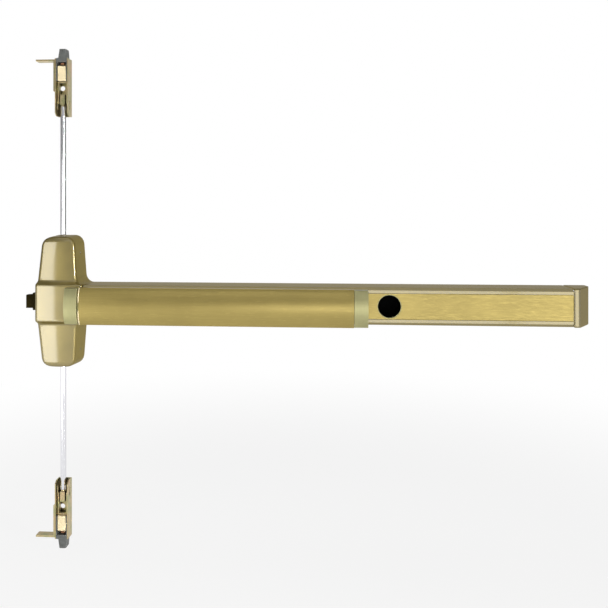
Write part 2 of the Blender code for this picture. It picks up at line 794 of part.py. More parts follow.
def screw_ear(name, side, z):
    """A folded ear that takes one of the cover's screws."""
    tight = abs(z) + SCREW_EAR_HALF
    deep = COVER_SCREW_DEPTH + SCREW_EAR_HALF
    outer = wall_inner_x(tight, deep) - GAP
    ends = sorted((side * outer, side * (outer - EAR_STEEL)))
    outline = rectangle(-deep, -PLATE_STEEL / 2, z - SCREW_EAR_HALF, z + SCREW_EAR_HALF)
    hole = circle((-COVER_SCREW_DEPTH, z), COVER_SCREW_RADIUS + GAP, SMALL_STEPS)
    return extruded(name, [outline, hole], *ends, "X")


def tongue_screw_place(side):
    return (TONGUE_START + TONGUE_LENGTH - 2 * SCREW_HEAD_RADIUS, side * TONGUE_HALF / 2)


def face_turn():
    """The turn that points a screw's head out of the door, to the front."""
    return (math.radians(90), 0, 0)


def case_screw(name, x, z, steel):
    """A screw through a bracket of this thickness into the case's back."""
    head = -CASE_FLOOR + steel + GAP
    return screw_in(name, (x, 0, z), head, GAP, face_turn())


def tongue_screws():
    names = (("upper", 1), ("lower", -1))
    return [case_screw(f"tongue_screw_{n}", *tongue_screw_place(s), TONGUE_STEEL) for n, s in names]


# Mechanism case and what closes it


def case_profile():
    """Half of the extrusion's section in Y and Z, mirrored to the whole."""
    half = [
        (0, CASE_HALF_HEIGHT),
        (-(CASE_DEPTH - CASE_EDGE), CASE_HALF_HEIGHT),
        (-CASE_DEPTH, CASE_HALF_HEIGHT - CASE_EDGE),
        (-CASE_DEPTH, CASE_OPENING_HALF),
        (-CASE_DEPTH + CASE_WALL, CASE_OPENING_HALF),
        (-CASE_DEPTH + CASE_WALL, CASE_HALF_HEIGHT - CASE_EDGE - CASE_WALL / 2),
        (-(CASE_DEPTH - CASE_EDGE - CASE_WALL / 2), CASE_HALF_HEIGHT - CASE_WALL),
        (-CASE_WALL, CASE_HALF_HEIGHT - CASE_WALL),
    ]
    return half + [(y, -z) for y, z in reversed(half)]


def mechanism_case():
    case = extruded("mechanism_case", [case_profile()], CASE_START, CASE_END, "X", "satin_bronze")
    places = [tongue_screw_place(1), tongue_screw_place(-1), (end_screw_x(), 0)]
    for x in CRANK_X.values():
        places.append((x, BRACKET_SCREW_Z))
        places.append((x, -BRACKET_SCREW_Z))
    for n, place in enumerate(places):
        hole = cylinder(
            f"case_hole_{n}",
            SCREW_RADIUS + GAP,
            place,
            -CASE_WALL - CUT_PAST,
            CUT_PAST,
            "Y",
            steps=SMALL_STEPS,
        )
        cut(case, hole)
    return case


def cover_plate():
    """The brushed plate between the case's lips, with the cylinder's hole."""
    visible = CASE_OPENING_HALF - GAP
    front = -CASE_DEPTH + GAP / 2
    shelf = -CASE_DEPTH + CASE_WALL + GAP
    half = [
        (front, visible),
        (shelf, visible),
        (shelf, visible + PLATE_LIP),
        (shelf + PLATE_THICKNESS, visible + PLATE_LIP),
    ]
    profile = half + [(y, -z) for y, z in reversed(half)]
    plate = extruded("cover_plate", [profile], PLATE_START, CASE_END, "X", "brushed_bronze")
    back = shelf + PLATE_THICKNESS + CUT_PAST
    hole = cylinder(
        "cylinder_hole",
        CYLINDER_RADIUS,
        (CYLINDER_X, 0),
        front - CUT_PAST,
        back,
        "Y",
        steps=FINE_STEPS,
    )
    cut(plate, hole)
    return plate


def cylinder_cup():
    """The open housing that a dogging cylinder would fill."""
    rim = CASE_DEPTH - CASE_WALL - GAP - PLATE_THICKNESS - GAP
    floor = -CASE_FLOOR
    inner = CYLINDER_RADIUS
    outer = CYLINDER_RADIUS + CUP_WALL
    profile = [
        (0, floor + CUP_FLOOR),
        (inner, floor + CUP_FLOOR),
        (inner, rim),
        (outer, rim),
        (outer, floor),
        (0, floor),
    ]
    return turned("cylinder_cup", profile, (CYLINDER_X, 0, 0), face_turn(), "black", FINE_STEPS)


def end_cap_outline(inset, front_extra, back):
    """The end cap's plan, set in by its wall: its face slopes to a straight side."""
    start = CASE_END + GAP
    depth = CASE_DEPTH + END_CAP_PROUD
    slope = (END_CAP_BACK - END_CAP_FRONT) / (depth - END_CAP_SIDE)
    lean = inset * math.sqrt(1 + slope ** 2)
    front = depth - inset
    side = END_CAP_SIDE - (lean - inset) / slope
    return [
        (start - front_extra, back),
        (start + END_CAP_BACK - inset, back),
        (start + END_CAP_BACK - inset, -side),
        (start + END_CAP_BACK - lean - slope * (front - END_CAP_SIDE), -front),
        (start - front_extra, -front),
    ]


def end_cap():
    half = CASE_HALF_HEIGHT + END_CAP_PROUD
    outline = end_cap_outline(0, 0, 0)
    cap = extruded("end_cap", [outline], -half, half, "Z", "satin_bronze")
    bevel(cap, END_CAP_ROUND, 3, 25)
    inner = half - END_CAP_WALL
    hollow = extruded(
        "end_cap_hollow",
        [end_cap_outline(END_CAP_WALL, END_CAP_ROUND + CUT_PAST, CUT_PAST)],
        -inner,
        inner,
        "Z",
    )
    cut(cap, hollow)
    return cap


def end_screw_x():
    return CASE_END - END_BRACKET_LAP / 2


def end_cap_bracket():
    """A flat bracket on the case's back that reaches the cap's side wall."""
    front = CASE_FLOOR - BRACKET_STEEL
    tip = CASE_END + END_CAP_BACK - END_CAP_WALL
    outline = rectangle(CASE_END - END_BRACKET_LAP, tip, -END_BRACKET_HALF, END_BRACKET_HALF)
    hole = circle((end_screw_x(), 0), SCREW_RADIUS + GAP, SMALL_STEPS)
    outlines = [outline, hole]
    return extruded("end_cap_bracket", outlines, front, CASE_FLOOR, "Y", "dull_steel")


# Push bar and trims


def crown(z, apex):
    """The push bar's front surface: a flat arc between its two creases."""
    chord = BAR_HALF_HEIGHT - BAR_CREASE
    radius = (chord ** 2 + BAR_CROWN ** 2) / (2 * BAR_CROWN)
    return -apex + radius - math.sqrt(radius ** 2 - z ** 2)


def front_line(half, apex):
    """The crowned front with its two creased edges, from -Z to +Z."""
    crease = BAR_HALF_HEIGHT - BAR_CREASE
    shoulder = crown(crease, apex) + BAR_CREASE
    arc = [(crown(z, apex), z) for z in spread(-crease, crease, CROWN_STEPS)]
    return [(shoulder, -half)] + arc + [(shoulder, half)]


def push_bar():
    """An extrusion with a crowned front, two skirts and two legs into the case."""
    skirt = -BAR_PROJECTION + BAR_SKIRT
    inner = BAR_HALF_HEIGHT - BAR_WALL
    leg_outer = BAR_LEG_INNER + BAR_LEG_WALL
    inner_apex = BAR_PROJECTION - BAR_WALL
    upper = [(skirt, BAR_HALF_HEIGHT), (skirt, inner)]
    upper += [(crown(z, inner_apex), z) for z in spread(inner, leg_outer, 2)]
    upper += [(-BAR_LEG_DEPTH, leg_outer), (-BAR_LEG_DEPTH, BAR_LEG_INNER)]
    inner_heights = spread(BAR_LEG_INNER, -BAR_LEG_INNER, INNER_CROWN_STEPS)
    middle = [(crown(z, inner_apex), z) for z in inner_heights]
    lower = [(y, -z) for y, z in reversed(upper)]
    outline = front_line(BAR_HALF_HEIGHT, BAR_PROJECTION) + upper + middle + lower
    return extruded("push_bar", [outline], BAR_START, BAR_END, "X", "brushed_bronze")


def trim(name, start, end, closed_at, tongue_to):
    """A cap on the push bar's end: a crowned shell with a closed end and a tongue."""
    half = BAR_HALF_HEIGHT - TRIM_INSET
    apex = BAR_PROJECTION + TRIM_PROUD
    skirt = -BAR_PROJECTION + TRIM_SKIRT
    outline = front_line(half, apex) + [(skirt, half), (skirt, -half)]
    shell = extruded(name, [outline], start, end, "X", "trim_bronze")
    inner = half - TRIM_WALL
    inner_arc = [(crown(z, apex - TRIM_WALL), z) for z in spread(-inner, inner, CROWN_STEPS)]
    inner_outline = inner_arc + [(skirt + CUT_PAST, inner), (skirt + CUT_PAST, -inner)]
    if closed_at == "start":
        hollow_ends = (start + TRIM_WALL, end + CUT_PAST)
    else:
        hollow_ends = (start - CUT_PAST, end - TRIM_WALL)
    hollow = extruded(name + "_hollow", [inner_outline], *hollow_ends, "X")
    cut(shell, hollow)
    tongue_front = crown(TRIM_TONGUE_HALF, BAR_PROJECTION - BAR_WALL) + GAP
    root = start + TRIM_WALL / 2 if closed_at == "start" else end - TRIM_WALL / 2
    low, high = sorted((root, tongue_to))
    tongue = box(
        name + "_tongue",
        (low, tongue_front, -TRIM_TONGUE_HALF),
        (high, tongue_front + TRIM_TONGUE_THICKNESS, TRIM_TONGUE_HALF),
    )
    join(shell, tongue)
    return shell


def trims():
    left_end = BAR_START - LEFT_TRIM_SPACE
    left = trim(
        "left_trim", left_end - LEFT_TRIM_WIDTH, left_end, "start", BAR_START + TRIM_TONGUE
    )
    right_start = BAR_END + GAP
    right = trim(
        "right_trim", right_start, right_start + RIGHT_TRIM_WIDTH, "end", BAR_END - TRIM_TONGUE
    )
    return [left, right]


def pad_bracket(side):
    """The bracket under the push bar whose two slotted ears take a crank's pin."""
    plate_half = BAR_LEG_INNER - GAP
    front = crown(plate_half, BAR_PROJECTION - BAR_WALL) + GAP
    floor = front + BRACKET_STEEL
    ear_outer = PAD_EAR_INNER + PAD_EAR_WALL
    pin_y = -CRANK_AXIS_DEPTH + INPUT_REST[1]
    ear_end = pin_y + PIN_SLOT + PAD_EAR_MARGIN
    half = [
        (front, plate_half),
        (floor, plate_half),
        (floor, ear_outer),
        (ear_end, ear_outer),
        (ear_end, PAD_EAR_INNER),
        (floor, PAD_EAR_INNER),
    ]
    profile = half + [(y, -z) for y, z in reversed(half)]
    slot_middle = CRANK_X[side] + (INPUT_REST[0] + INPUT_ARM) / 2
    ends = (slot_middle - PAD_WIDTH / 2, slot_middle + PAD_WIDTH / 2)
    bracket = extruded(f"pad_bracket_{side}", [profile], *ends, "X", "dull_steel")
    first = (CRANK_X[side] + INPUT_REST[0], pin_y)
    last = (CRANK_X[side] + INPUT_ARM, pin_y)
    reach = ear_outer + CUT_PAST
    slots = extruded(f"pad_slot_{side}", [slot(first, last)], -reach, reach, "Z")
    cut(bracket, slots)
    return bracket


# Bell cranks and draw link


def crank_bracket(side):
    """A hat-shaped bracket on the case's back that holds a crank's pin."""
    ear_outer = PAD_EAR_INNER + PAD_EAR_WALL
    floor = CASE_FLOOR - BRACKET_STEEL
    ear_end = -CRANK_AXIS_DEPTH - BRACKET_EAR_MARGIN
    half = [
        (CASE_FLOOR, BRACKET_FLANGE_HALF),
        (floor, BRACKET_FLANGE_HALF),
        (floor, ear_outer),
        (ear_end, ear_outer),
        (ear_end, PAD_EAR_INNER),
        (floor, PAD_EAR_INNER),
    ]
    profile = half + [(y, -z) for y, z in reversed(half)]
    x = CRANK_X[side]
    left = x - BRACKET_LENGTH / 2
    bracket = extruded(
        f"crank_bracket_{side}", [profile], left, left + BRACKET_LENGTH, "X", "dull_steel"
    )
    if side == "right":
        join(bracket, spring_stop())
    reach = ear_outer + CUT_PAST
    pin_hole = cylinder(
        f"crank_pin_hole_{side}",
        HUB_PIN_RADIUS + GAP,
        (x, -CRANK_AXIS_DEPTH),
        -reach,
        reach,
        "Z",
    )
    cut(bracket, pin_hole)
    for label, sign in (("upper", 1), ("lower", -1)):
        hole = cylinder(
            f"bracket_hole_{side}_{label}",
            SCREW_RADIUS + GAP,
            (x, sign * BRACKET_SCREW_Z),
            floor - CUT_PAST,
            CASE_FLOOR + CUT_PAST,
            "Y",
            steps=SMALL_STEPS,
        )
        cut(bracket, hole)
    return bracket


def spring_stop_x():
    """The stop's face, against which the return spring ends."""
    return CRANK_X["right"] - SPRING_STOP_BACK


def spring_stop():
    """The right bracket's folded arm, an L that rises to the spring."""
    x = spring_stop_x()
    front = LINK_FRONT + LINK_EDGE_MARGIN
    lap = CRANK_X["right"] - BRACKET_LENGTH / 2 + BRACKET_STEEL
    outline = [
        (x, CASE_FLOOR),
        (lap, CASE_FLOOR),
        (lap, CASE_FLOOR - BRACKET_STEEL),
        (x + LINK_STEEL, CASE_FLOOR - BRACKET_STEEL),
        (x + LINK_STEEL, front),
        (x, front),
    ]
    return extruded("spring_stop", [outline], LINK_TOP + 2 * GAP, SPRING_Z + SPRING_RADIUS, "Z")


def crank_pin(side):
    reach = PAD_EAR_INNER + PAD_EAR_WALL + 4 * GAP
    place = (CRANK_X[side], -CRANK_AXIS_DEPTH)
    return cylinder(f"crank_pin_{side}", HUB_PIN_RADIUS, place, -reach, reach, "Z", "steel")


def pad_pin(side):
    reach = PAD_EAR_INNER + PAD_EAR_WALL + 3 * GAP
    place = (CRANK_X[side] + INPUT_REST[0], -CRANK_AXIS_DEPTH + INPUT_REST[1])
    return cylinder(f"pad_pin_{side}", ARM_PIN_RADIUS, place, -reach, reach, "Z", "steel")


def bell_crank(side):
    """A three-cornered plate: hub, push bar pin and draw link pin."""
    hub = (CRANK_X[side], -CRANK_AXIS_DEPTH)
    push_end = (hub[0] + INPUT_ARM, hub[1])
    pull_end = (hub[0], hub[1] - OUTPUT_ARM)
    outline = rounded_plate(
        (hub, HUB_RADIUS), (push_end, ARM_END_RADIUS), (pull_end, ARM_END_RADIUS)
    )
    holes = [circle(hub, HUB_PIN_RADIUS + GAP), circle(push_end, PIN_SLOT)]
    half = CRANK_THICKNESS / 2
    name = f"bell_crank_{side}"
    crank = extruded(name, [outline, *holes], -half, half, "Z", "yellow_zinc")
    pin = cylinder(name + "_pin", ARM_PIN_RADIUS, pull_end, 0, LINK_TOP + GAP, "Z")
    join(crank, pin)
    turn_about([crank, pin], (*hub, 0), -HALF_SWING, "Z")
    return crank


def draw_link():
    """The flat bar between the cranks, with an upright tab at the centre crank."""
    right = CRANK_X["right"] + LINK_END_MARGIN
    outline = rectangle(LINK_LEFT, right, LINK_FRONT, LINK_BACK)
    slots = []
    for x in CRANK_X.values():
        pin_x = x + OUTPUT_REST[0]
        near = (pin_x, -CRANK_AXIS_DEPTH + OUTPUT_REST[1])
        far = (pin_x, -CRANK_AXIS_DEPTH - OUTPUT_ARM)
        slots.append(slot(near, far))
    link = extruded("draw_link", [outline, *slots], LINK_Z, LINK_TOP, "Z", "yellow_zinc")
    pin_x = -ROD_ARM * math.sin(HALF_SWING)
    tab_left = pin_x - LINK_TAB_SIDE
    tab_outline = [
        (LINK_LEFT, LINK_Z),
        (LINK_LEFT + LINK_RISER, LINK_Z),
        (LINK_LEFT + LINK_RISER, LINK_TAB_HIGH),
        (tab_left, LINK_TAB_HIGH),
        (tab_left, LINK_TAB_LOW),
        (LINK_LEFT, LINK_TAB_LOW),
    ]
    tab_slot = slot((pin_x, ROD_ARM * math.cos(HALF_SWING)), (pin_x, ROD_ARM))
    tab = extruded(
        "draw_link_tab", [tab_outline, tab_slot], LINK_FRONT, LINK_FRONT + LINK_STEEL, "Y"
    )
    post_x = spring_stop_x() - SPRING_LENGTH
    post = box(
        "draw_link_post",
        (post_x - LINK_STEEL, SPRING_Y - SPRING_RADIUS, LINK_Z + GAP),
        (post_x, SPRING_Y + SPRING_RADIUS, LINK_TOP + SPRING_POST),
    )
    join(link, tab, post)
    return link


def return_spring():
    stop = spring_stop_x()
    return coil(
        "return_spring",
        SPRING_RADIUS,
        SPRING_WIRE,
        SPRING_TURNS,
        stop - SPRING_LENGTH + GAP,
        stop - GAP,
        (SPRING_Y, SPRING_Z),
        "steel",
        "X",
    )


# Centre crank, rim latch and slides


def crank_stud():
    """The stud on the base plate that the centre crank turns on."""
    profile = [
        (0, -STUD_HEAD_BACK + STUD_HEAD_HEIGHT),
        (STUD_HEAD_RADIUS, -STUD_HEAD_BACK + STUD_HEAD_HEIGHT),
        (STUD_HEAD_RADIUS, -STUD_HEAD_BACK),
        (STUD_RADIUS, -STUD_HEAD_BACK),
        (STUD_RADIUS, -SLIDE_FRONT),
        (STUD_COLLAR_RADIUS, -SLIDE_FRONT),
        (STUD_COLLAR_RADIUS, PLATE_STEEL + GAP),
        (0, PLATE_STEEL + GAP),
    ]
    return turned("crank_stud", profile, (0, 0, 0), face_turn(), "steel")


def centre_crank():
    """A hub with three levers: one for the draw link, one for the latch, one for the rods."""
    origin = (0, 0)
    outline = [circle(origin, HUB_RADIUS), circle(origin, STUD_RADIUS + GAP)]
    crank = extruded("centre_crank", outline, FRONT_ARM_FRONT, HUB_BACK, "Y", "yellow_zinc")
    bore = circle(origin, STUD_RADIUS + GAP)
    hub = (origin, HUB_RADIUS)
    levers = [
        ("link_lever", [(0, ROD_ARM)], FRONT_ARM_FRONT, FRONT_ARM_FRONT + SLIDE_STEEL),
        ("latch_lever", [(0, LATCH_ARM)], -LATCH_LUG_BACK + GAP, -LATCH_ARM_BACK),
        ("rod_lever", [(-ROD_ARM, 0), (ROD_ARM, 0)], ROD_ARM_BACK - SLIDE_STEEL, ROD_ARM_BACK),
    ]
    parts = [crank]
    for name, ends, front, back in levers:
        plate = rounded_plate(hub, *[(end, ARM_END_RADIUS - GAP) for end in ends])
        lever = extruded(name, [plate, bore], front, back, "Y")
        join(crank, lever)
        parts.append(lever)
    pins = [
        ("link_lever_pin", (0, ROD_ARM), LINK_FRONT - GAP, FRONT_ARM_FRONT + SLIDE_STEEL / 2),
        ("latch_lever_pin", (0, LATCH_ARM), -LATCH_LUG_FRONT - GAP, -LATCH_ARM_BACK - SLIDE_STEEL / 2),
        ("rod_lever_pin_left", (-ROD_ARM, 0), ROD_ARM_BACK - SLIDE_STEEL / 2, SLIDE_BACK - GAP),
        ("rod_lever_pin_right", (ROD_ARM, 0), ROD_ARM_BACK - SLIDE_STEEL / 2, SLIDE_BACK - GAP),
    ]
    for name, place, front, back in pins:
        pin = cylinder(name, ARM_PIN_RADIUS, place, front, back, "Y")
        join(crank, pin)
        parts.append(pin)
    turn_about(parts, (0, 0, 0), -HALF_SWING, "Y")
    return crank


def rim_latch_bolt():
    """The side latch: a bevelled nose, a forked body and a lug that the crank pulls."""
    legs_outline = [
        (-LATCH_SHOULDER, -LATCH_BODY_HALF),
        (-LATCH_LEG_END, -LATCH_BODY_HALF),
        (-LATCH_LEG_END, -LATCH_LEG_INNER),
        (-LATCH_BODY_END, -LATCH_LEG_INNER),
        (-LATCH_BODY_END, LATCH_LEG_INNER),
        (-LATCH_LEG_END, LATCH_LEG_INNER),
        (-LATCH_LEG_END, LATCH_BODY_HALF),
        (-LATCH_SHOULDER, LATCH_BODY_HALF),
    ]
    bolt = extruded(
        "rim_latch_bolt", [legs_outline], -LATCH_FRONT, -LATCH_BACK, "Y", "latch_dark"
    )
    root = -(LATCH_SHOULDER + LATCH_BODY_END) / 2
    nose_outline = [
        (root, -LATCH_FRONT + GAP),
        (root, -LATCH_BACK - GAP),
        (-LATCH_TIP + LATCH_BEVEL, -LATCH_BACK - GAP),
        (-LATCH_TIP, -LATCH_BACK - LATCH_BEVEL),
        (-LATCH_TIP, -LATCH_FRONT + GAP),
    ]
    nose = extruded("latch_nose", [nose_outline], -LATCH_NOSE_HALF, LATCH_NOSE_HALF, "Z")
    pin_x = -LATCH_ARM * math.sin(HALF_SWING)
    low = LATCH_ARM * math.cos(HALF_SWING)
    top = LATCH_ARM + PIN_SLOT + LATCH_LUG_HALF - ARM_PIN_RADIUS
    lug_outline = [
        (-(LATCH_BODY_END + LATCH_LEG_END) / 2, LATCH_LEG_INNER + CUT_PAST),
        (-LATCH_LEG_END, LATCH_LEG_INNER + CUT_PAST),
        (pin_x + LATCH_LUG_HALF, low - LATCH_LUG_HALF),
        (pin_x + LATCH_LUG_HALF, top),
        (pin_x - LATCH_LUG_HALF, top),
        (pin_x - LATCH_LUG_HALF, low - LATCH_LUG_HALF / 2),
        (-(LATCH_BODY_END + LATCH_LEG_END) / 2, LATCH_BODY_HALF - CUT_PAST),
    ]
    lug_slot = slot((pin_x, low), (pin_x, LATCH_ARM))
    lug = extruded(
        "latch_lug", [lug_outline, lug_slot], -LATCH_LUG_FRONT, -LATCH_LUG_BACK, "Y"
    )
    join(bolt, nose, lug)
    return bolt


def slide(name, side):
    """A flat slide from a crank pin to its rod: above the middle (1) or below (-1)."""
    pin_z = side * ROD_ARM * math.sin(HALF_SWING)
    near_x = ROD_ARM * math.cos(HALF_SWING)
    far = ROD_ARM + PIN_SLOT + SLIDE_EYE_MARGIN
    bar = SLIDE_EYE_NEAR + SLIDE_BAR_WIDTH
    foot_low = SLIDE_TOP_Z - SLIDE_LUG_HEIGHT
    foot_end = side * ROD_X - SLIDE_LUG_HALF - SLIDE_FOOT_MARGIN
    eye_top = abs(pin_z) + SLIDE_EYE_HALF
    eye_low = abs(pin_z) - SLIDE_EYE_HALF
    half = [
        (SLIDE_EYE_NEAR, eye_low),
        (far, eye_low),
        (far, eye_top),
        (bar, eye_top),
        (bar, SLIDE_TOP_Z),
        (foot_end, SLIDE_TOP_Z),
        (foot_end, foot_low),
        (SLIDE_EYE_NEAR, foot_low),
    ]
    outline = [(side * x, side * z) for x, z in half]
    eye = slot((side * near_x, pin_z), (side * ROD_ARM, pin_z))
    plate = extruded(name, [outline, eye], SLIDE_FRONT, SLIDE_BACK, "Y", "yellow_zinc")
    block_half = ROD_RADIUS + GAP + ROD_BLOCK_WALL
    front = ROD_Y - block_half
    lug_outline = [
        (ROD_X - SLIDE_LUG_HALF, (SLIDE_FRONT + SLIDE_BACK) / 2),
        (ROD_X + SLIDE_LUG_HALF, (SLIDE_FRONT + SLIDE_BACK) / 2),
        (ROD_X + SLIDE_LUG_HALF, front),
        (ROD_X + block_half, front + ROD_BLOCK_WALL),
        (ROD_X + block_half, ROD_Y + block_half),
        (ROD_X - block_half, ROD_Y + block_half),
        (ROD_X - block_half, front + ROD_BLOCK_WALL),
        (ROD_X - SLIDE_LUG_HALF, front),
    ]
    hole = circle((ROD_X, ROD_Y), ROD_RADIUS + GAP)
    ends = sorted((side * (foot_low + GAP), side * (SLIDE_TOP_Z - GAP)))
    lug = extruded(name + "_lug", [lug_outline, hole], *ends, "Z")
    join(plate, lug)
    return plate


# Rod latches, the upper one (1) and its mirror image below (-1)


def flipped(side):
    """The turn that stands a turned piece upright above, or upside down below."""
    return (0, 0, 0) if side > 0 else (math.radians(180), 0, 0)


def rod(end, side):
    """A round rod with a thinner threaded end for the clevis."""
    tip = CROSS_PIN_Z - CROSS_PIN_RADIUS - 2 * GAP
    profile = [
        (0, tip),
        (ROD_STUD_RADIUS, tip),
        (ROD_STUD_RADIUS, ROD_SHOULDER_Z),
        (ROD_RADIUS, ROD_SHOULDER_Z),
        (ROD_RADIUS, ROD_END_Z),
        (0, ROD_END_Z),
    ]
    return turned(f"{end}_rod", profile, (ROD_X, ROD_Y, 0), flipped(side), "steel", ROD_STEPS)


def jam_nut(end, side):
    ends = sorted((side * (ROD_SHOULDER_Z + GAP), side * (CLEVIS_LOW - GAP)))
    outlines = [
        circle((ROD_X, ROD_Y), JAM_NUT_RADIUS, 6),
        circle((ROD_X, ROD_Y), ROD_STUD_RADIUS + GAP),
    ]
    return extruded(f"{end}_jam_nut", outlines, *ends, "Z", "yellow_zinc")


def cross_hole(name, radius, side, travel=0.0, reach=LATCH_CASE_HALF + CUT_PAST):
    """A hole along X for the cross pin, or a slot as long as the rod's travel."""
    high = (ROD_Y, side * CROSS_PIN_Z)
    low = (ROD_Y, side * (CROSS_PIN_Z - travel))
    outline = slot(low, high, radius) if travel else circle(high, radius, SMALL_STEPS)
    return extruded(name, [outline], ROD_X - reach, ROD_X + reach, "X")


def clevis(end, side):
    name = f"{end}_clevis"
    ends = sorted((side * CLEVIS_LOW, side * CLEVIS_HIGH))
    outline = rectangle(
        ROD_X - CLEVIS_HALF,
        ROD_X + CLEVIS_HALF,
        ROD_Y - CLEVIS_HALF_DEPTH,
        ROD_Y + CLEVIS_HALF_DEPTH,
    )
    fork = extruded(name, [outline], *ends, "Z", "yellow_zinc")
    bore_ends = sorted((side * (CLEVIS_LOW - CUT_PAST), side * (CROSS_PIN_Z)))
    place = (ROD_X, ROD_Y)
    bore = cylinder(name + "_bore", ROD_STUD_RADIUS + GAP, place, *bore_ends, "Z")
    cut(fork, bore, cross_hole(name + "_cross", CROSS_PIN_RADIUS + GAP, side))
    return fork


def cross_pin(end, side):
    reach = LATCH_CASE_HALF - LATCH_CASE_WALL / 4
    ends = (ROD_X - reach, ROD_X + reach)
    place = (ROD_Y, side * CROSS_PIN_Z)
    return cylinder(f"{end}_cross_pin", CROSS_PIN_RADIUS, place, *ends, "X", "yellow_zinc", SMALL_STEPS)


def channel_half():
    """Half of the room between a latch case's walls, less a running gap."""
    return LATCH_CASE_HALF - LATCH_CASE_WALL - GAP


def slide_frame(end, side):
    """The stirrup that joins the cross pin to the block and the bolt."""
    outer = channel_half() - FRAME_CLEARANCE / 2
    inner = outer - FRAME_STRIP
    bridge = FRAME_HIGH - FRAME_BRIDGE
    half = [(outer, FRAME_HIGH), (outer, FRAME_LOW), (inner, FRAME_LOW), (inner, bridge)]
    whole = half + [(-x, z) for x, z in reversed(half)]
    outline = [(ROD_X + x, side * z) for x, z in whole]
    ends = (ROD_Y - FRAME_HALF_DEPTH, ROD_Y + FRAME_HALF_DEPTH)
    name = f"{end}_slide_frame"
    frame = extruded(name, [outline], *ends, "Y", "yellow_zinc")
    cut(frame, cross_hole(name + "_cross", CROSS_PIN_RADIUS + GAP, side))
    return frame


def block(end, side):
    """The pale plastic block that the bolt's spring sits on."""
    low = FRAME_HIGH + GAP
    ends = sorted((side * low, side * (low + BLOCK_HEIGHT)))
    corners = ((ROD_X - BLOCK_HALF, BLOCK_FRONT, ends[0]), (ROD_X + BLOCK_HALF, BLOCK_BACK, ends[1]))
    piece = box(f"{end}_bolt_block", *corners, "pale_block")
    bevel(piece, BLOCK_ROUND, 2)
    return piece


def bolt_spring(end, side):
    low = FRAME_HIGH + GAP + BLOCK_HEIGHT + GAP
    high = BOLT_SHOULDER_LOW - GAP
    middle = (ROD_X, (BLOCK_FRONT + BLOCK_BACK) / 2)
    ends = sorted((side * low, side * high))
    return coil(
        f"{end}_bolt_spring",
        BOLT_SPRING_RADIUS,
        BOLT_SPRING_WIRE,
        BOLT_SPRING_TURNS,
        *ends,
        middle,
        "copper_spring",
        "Z",
    )


def latch_bolt(end, side):
    """The dark bolt: a tapered nose, a shoulder and a leg down each side of the block."""
    outer = channel_half()
    inner = outer - BOLT_LEG
    foot = FRAME_HIGH + GAP
    points = [
        (-outer, foot),
        (-inner, foot),
        (-inner, BOLT_SHOULDER_LOW),
        (inner, BOLT_SHOULDER_LOW),
        (inner, foot),
        (outer, foot),
        (outer, BOLT_SHOULDER_HIGH),
        (BOLT_ROOT_RIGHT, BOLT_SHOULDER_HIGH + GAP),
        (BOLT_TIP_RIGHT, BOLT_TIP_Z),
        (BOLT_TIP_LEFT, BOLT_TIP_Z),
        (BOLT_ROOT_LEFT, BOLT_SHOULDER_HIGH + GAP),
        (-outer, BOLT_SHOULDER_HIGH),
    ]
    outline = [(ROD_X + x, side * z) for x, z in points]
    return extruded(f"{end}_latch_bolt", [outline], BOLT_FRONT, BOLT_BACK, "Y", "bolt_grey")


def latch_case(end, side):
    """A channel open to the front, its inner end cut slanting."""
    name = f"{end}_latch_case"
    inner = LATCH_CASE_HALF - LATCH_CASE_WALL
    web = LATCH_CASE_BACK - LATCH_CASE_WEB
    half = [
        (LATCH_CASE_HALF, LATCH_CASE_BACK),
        (LATCH_CASE_HALF, LATCH_CASE_FRONT),
        (inner, LATCH_CASE_FRONT),
        (inner, web),
    ]
    whole = half + [(-x, y) for x, y in reversed(half)]
    outline = [(ROD_X + x, y) for x, y in whole]
    ends = sorted((side * LATCH_CASE_INNER_Z, side * LATCH_CASE_OUTER_Z))
    case = extruded(name, [outline], *ends, "Z", "yellow_zinc")
    reach = LATCH_CASE_HALF + CUT_PAST
    low = LATCH_CASE_INNER_Z - CUT_PAST
    corner = [
        (LATCH_CASE_FRONT - CUT_PAST, side * low),
        (LATCH_CASE_FRONT + LATCH_CASE_CHAMFER, side * low),
        (LATCH_CASE_FRONT - CUT_PAST, side * (low + LATCH_CASE_CHAMFER)),
    ]
    chamfer = extruded(name + "_chamfer", [corner], ROD_X - reach, ROD_X + reach, "X")
    web_hole = cylinder(
        name + "_web_hole",
        WEB_HOLE_RADIUS,
        (ROD_X - WEB_HOLE_SIDE, side * WEB_HOLE_Z),
        web - CUT_PAST,
        LATCH_CASE_BACK + CUT_PAST,
        "Y",
    )
    pin_slot = cross_hole(name + "_pin_slot", CROSS_PIN_RADIUS + GAP, side, LINK_TRAVEL)
    cut(case, chamfer, web_hole, pin_slot, rivet_hole(name + "_rivet_hole", side))
    return case


def rivet_hole(name, side):
    left = ROD_X - LATCH_CASE_HALF - ANGLE_STEEL - CUT_PAST
    place = (ROD_Y, side * ANGLE_RIVET_Z)
    right = ROD_X - channel_half()
    return cylinder(name, RIVET_RADIUS + GAP, place, left, right, "X", steps=SMALL_STEPS)


def mounting_angle(end, side):
    """The folded angle that fixes a latch case inside the door."""
    name = f"{end}_mounting_angle"
    right = ROD_X - LATCH_CASE_HALF - GAP
    left = ROD_X - ANGLE_REACH
    points = [
        (right, ANGLE_LOW),
        (right, ANGLE_HIGH),
        (left, ANGLE_HIGH),
        (left, ANGLE_HIGH - ANGLE_STEEL),
        (right - ANGLE_STEEL, ANGLE_HIGH - ANGLE_STEEL),
        (right - ANGLE_STEEL, ANGLE_LOW),
    ]
    outline = [(x, side * z) for x, z in points]
    angle = extruded(name, [outline], ANGLE_FRONT, ANGLE_BACK, "Y", "yellow_zinc")
    cut(angle, rivet_hole(name + "_rivet_hole", side))
    return angle


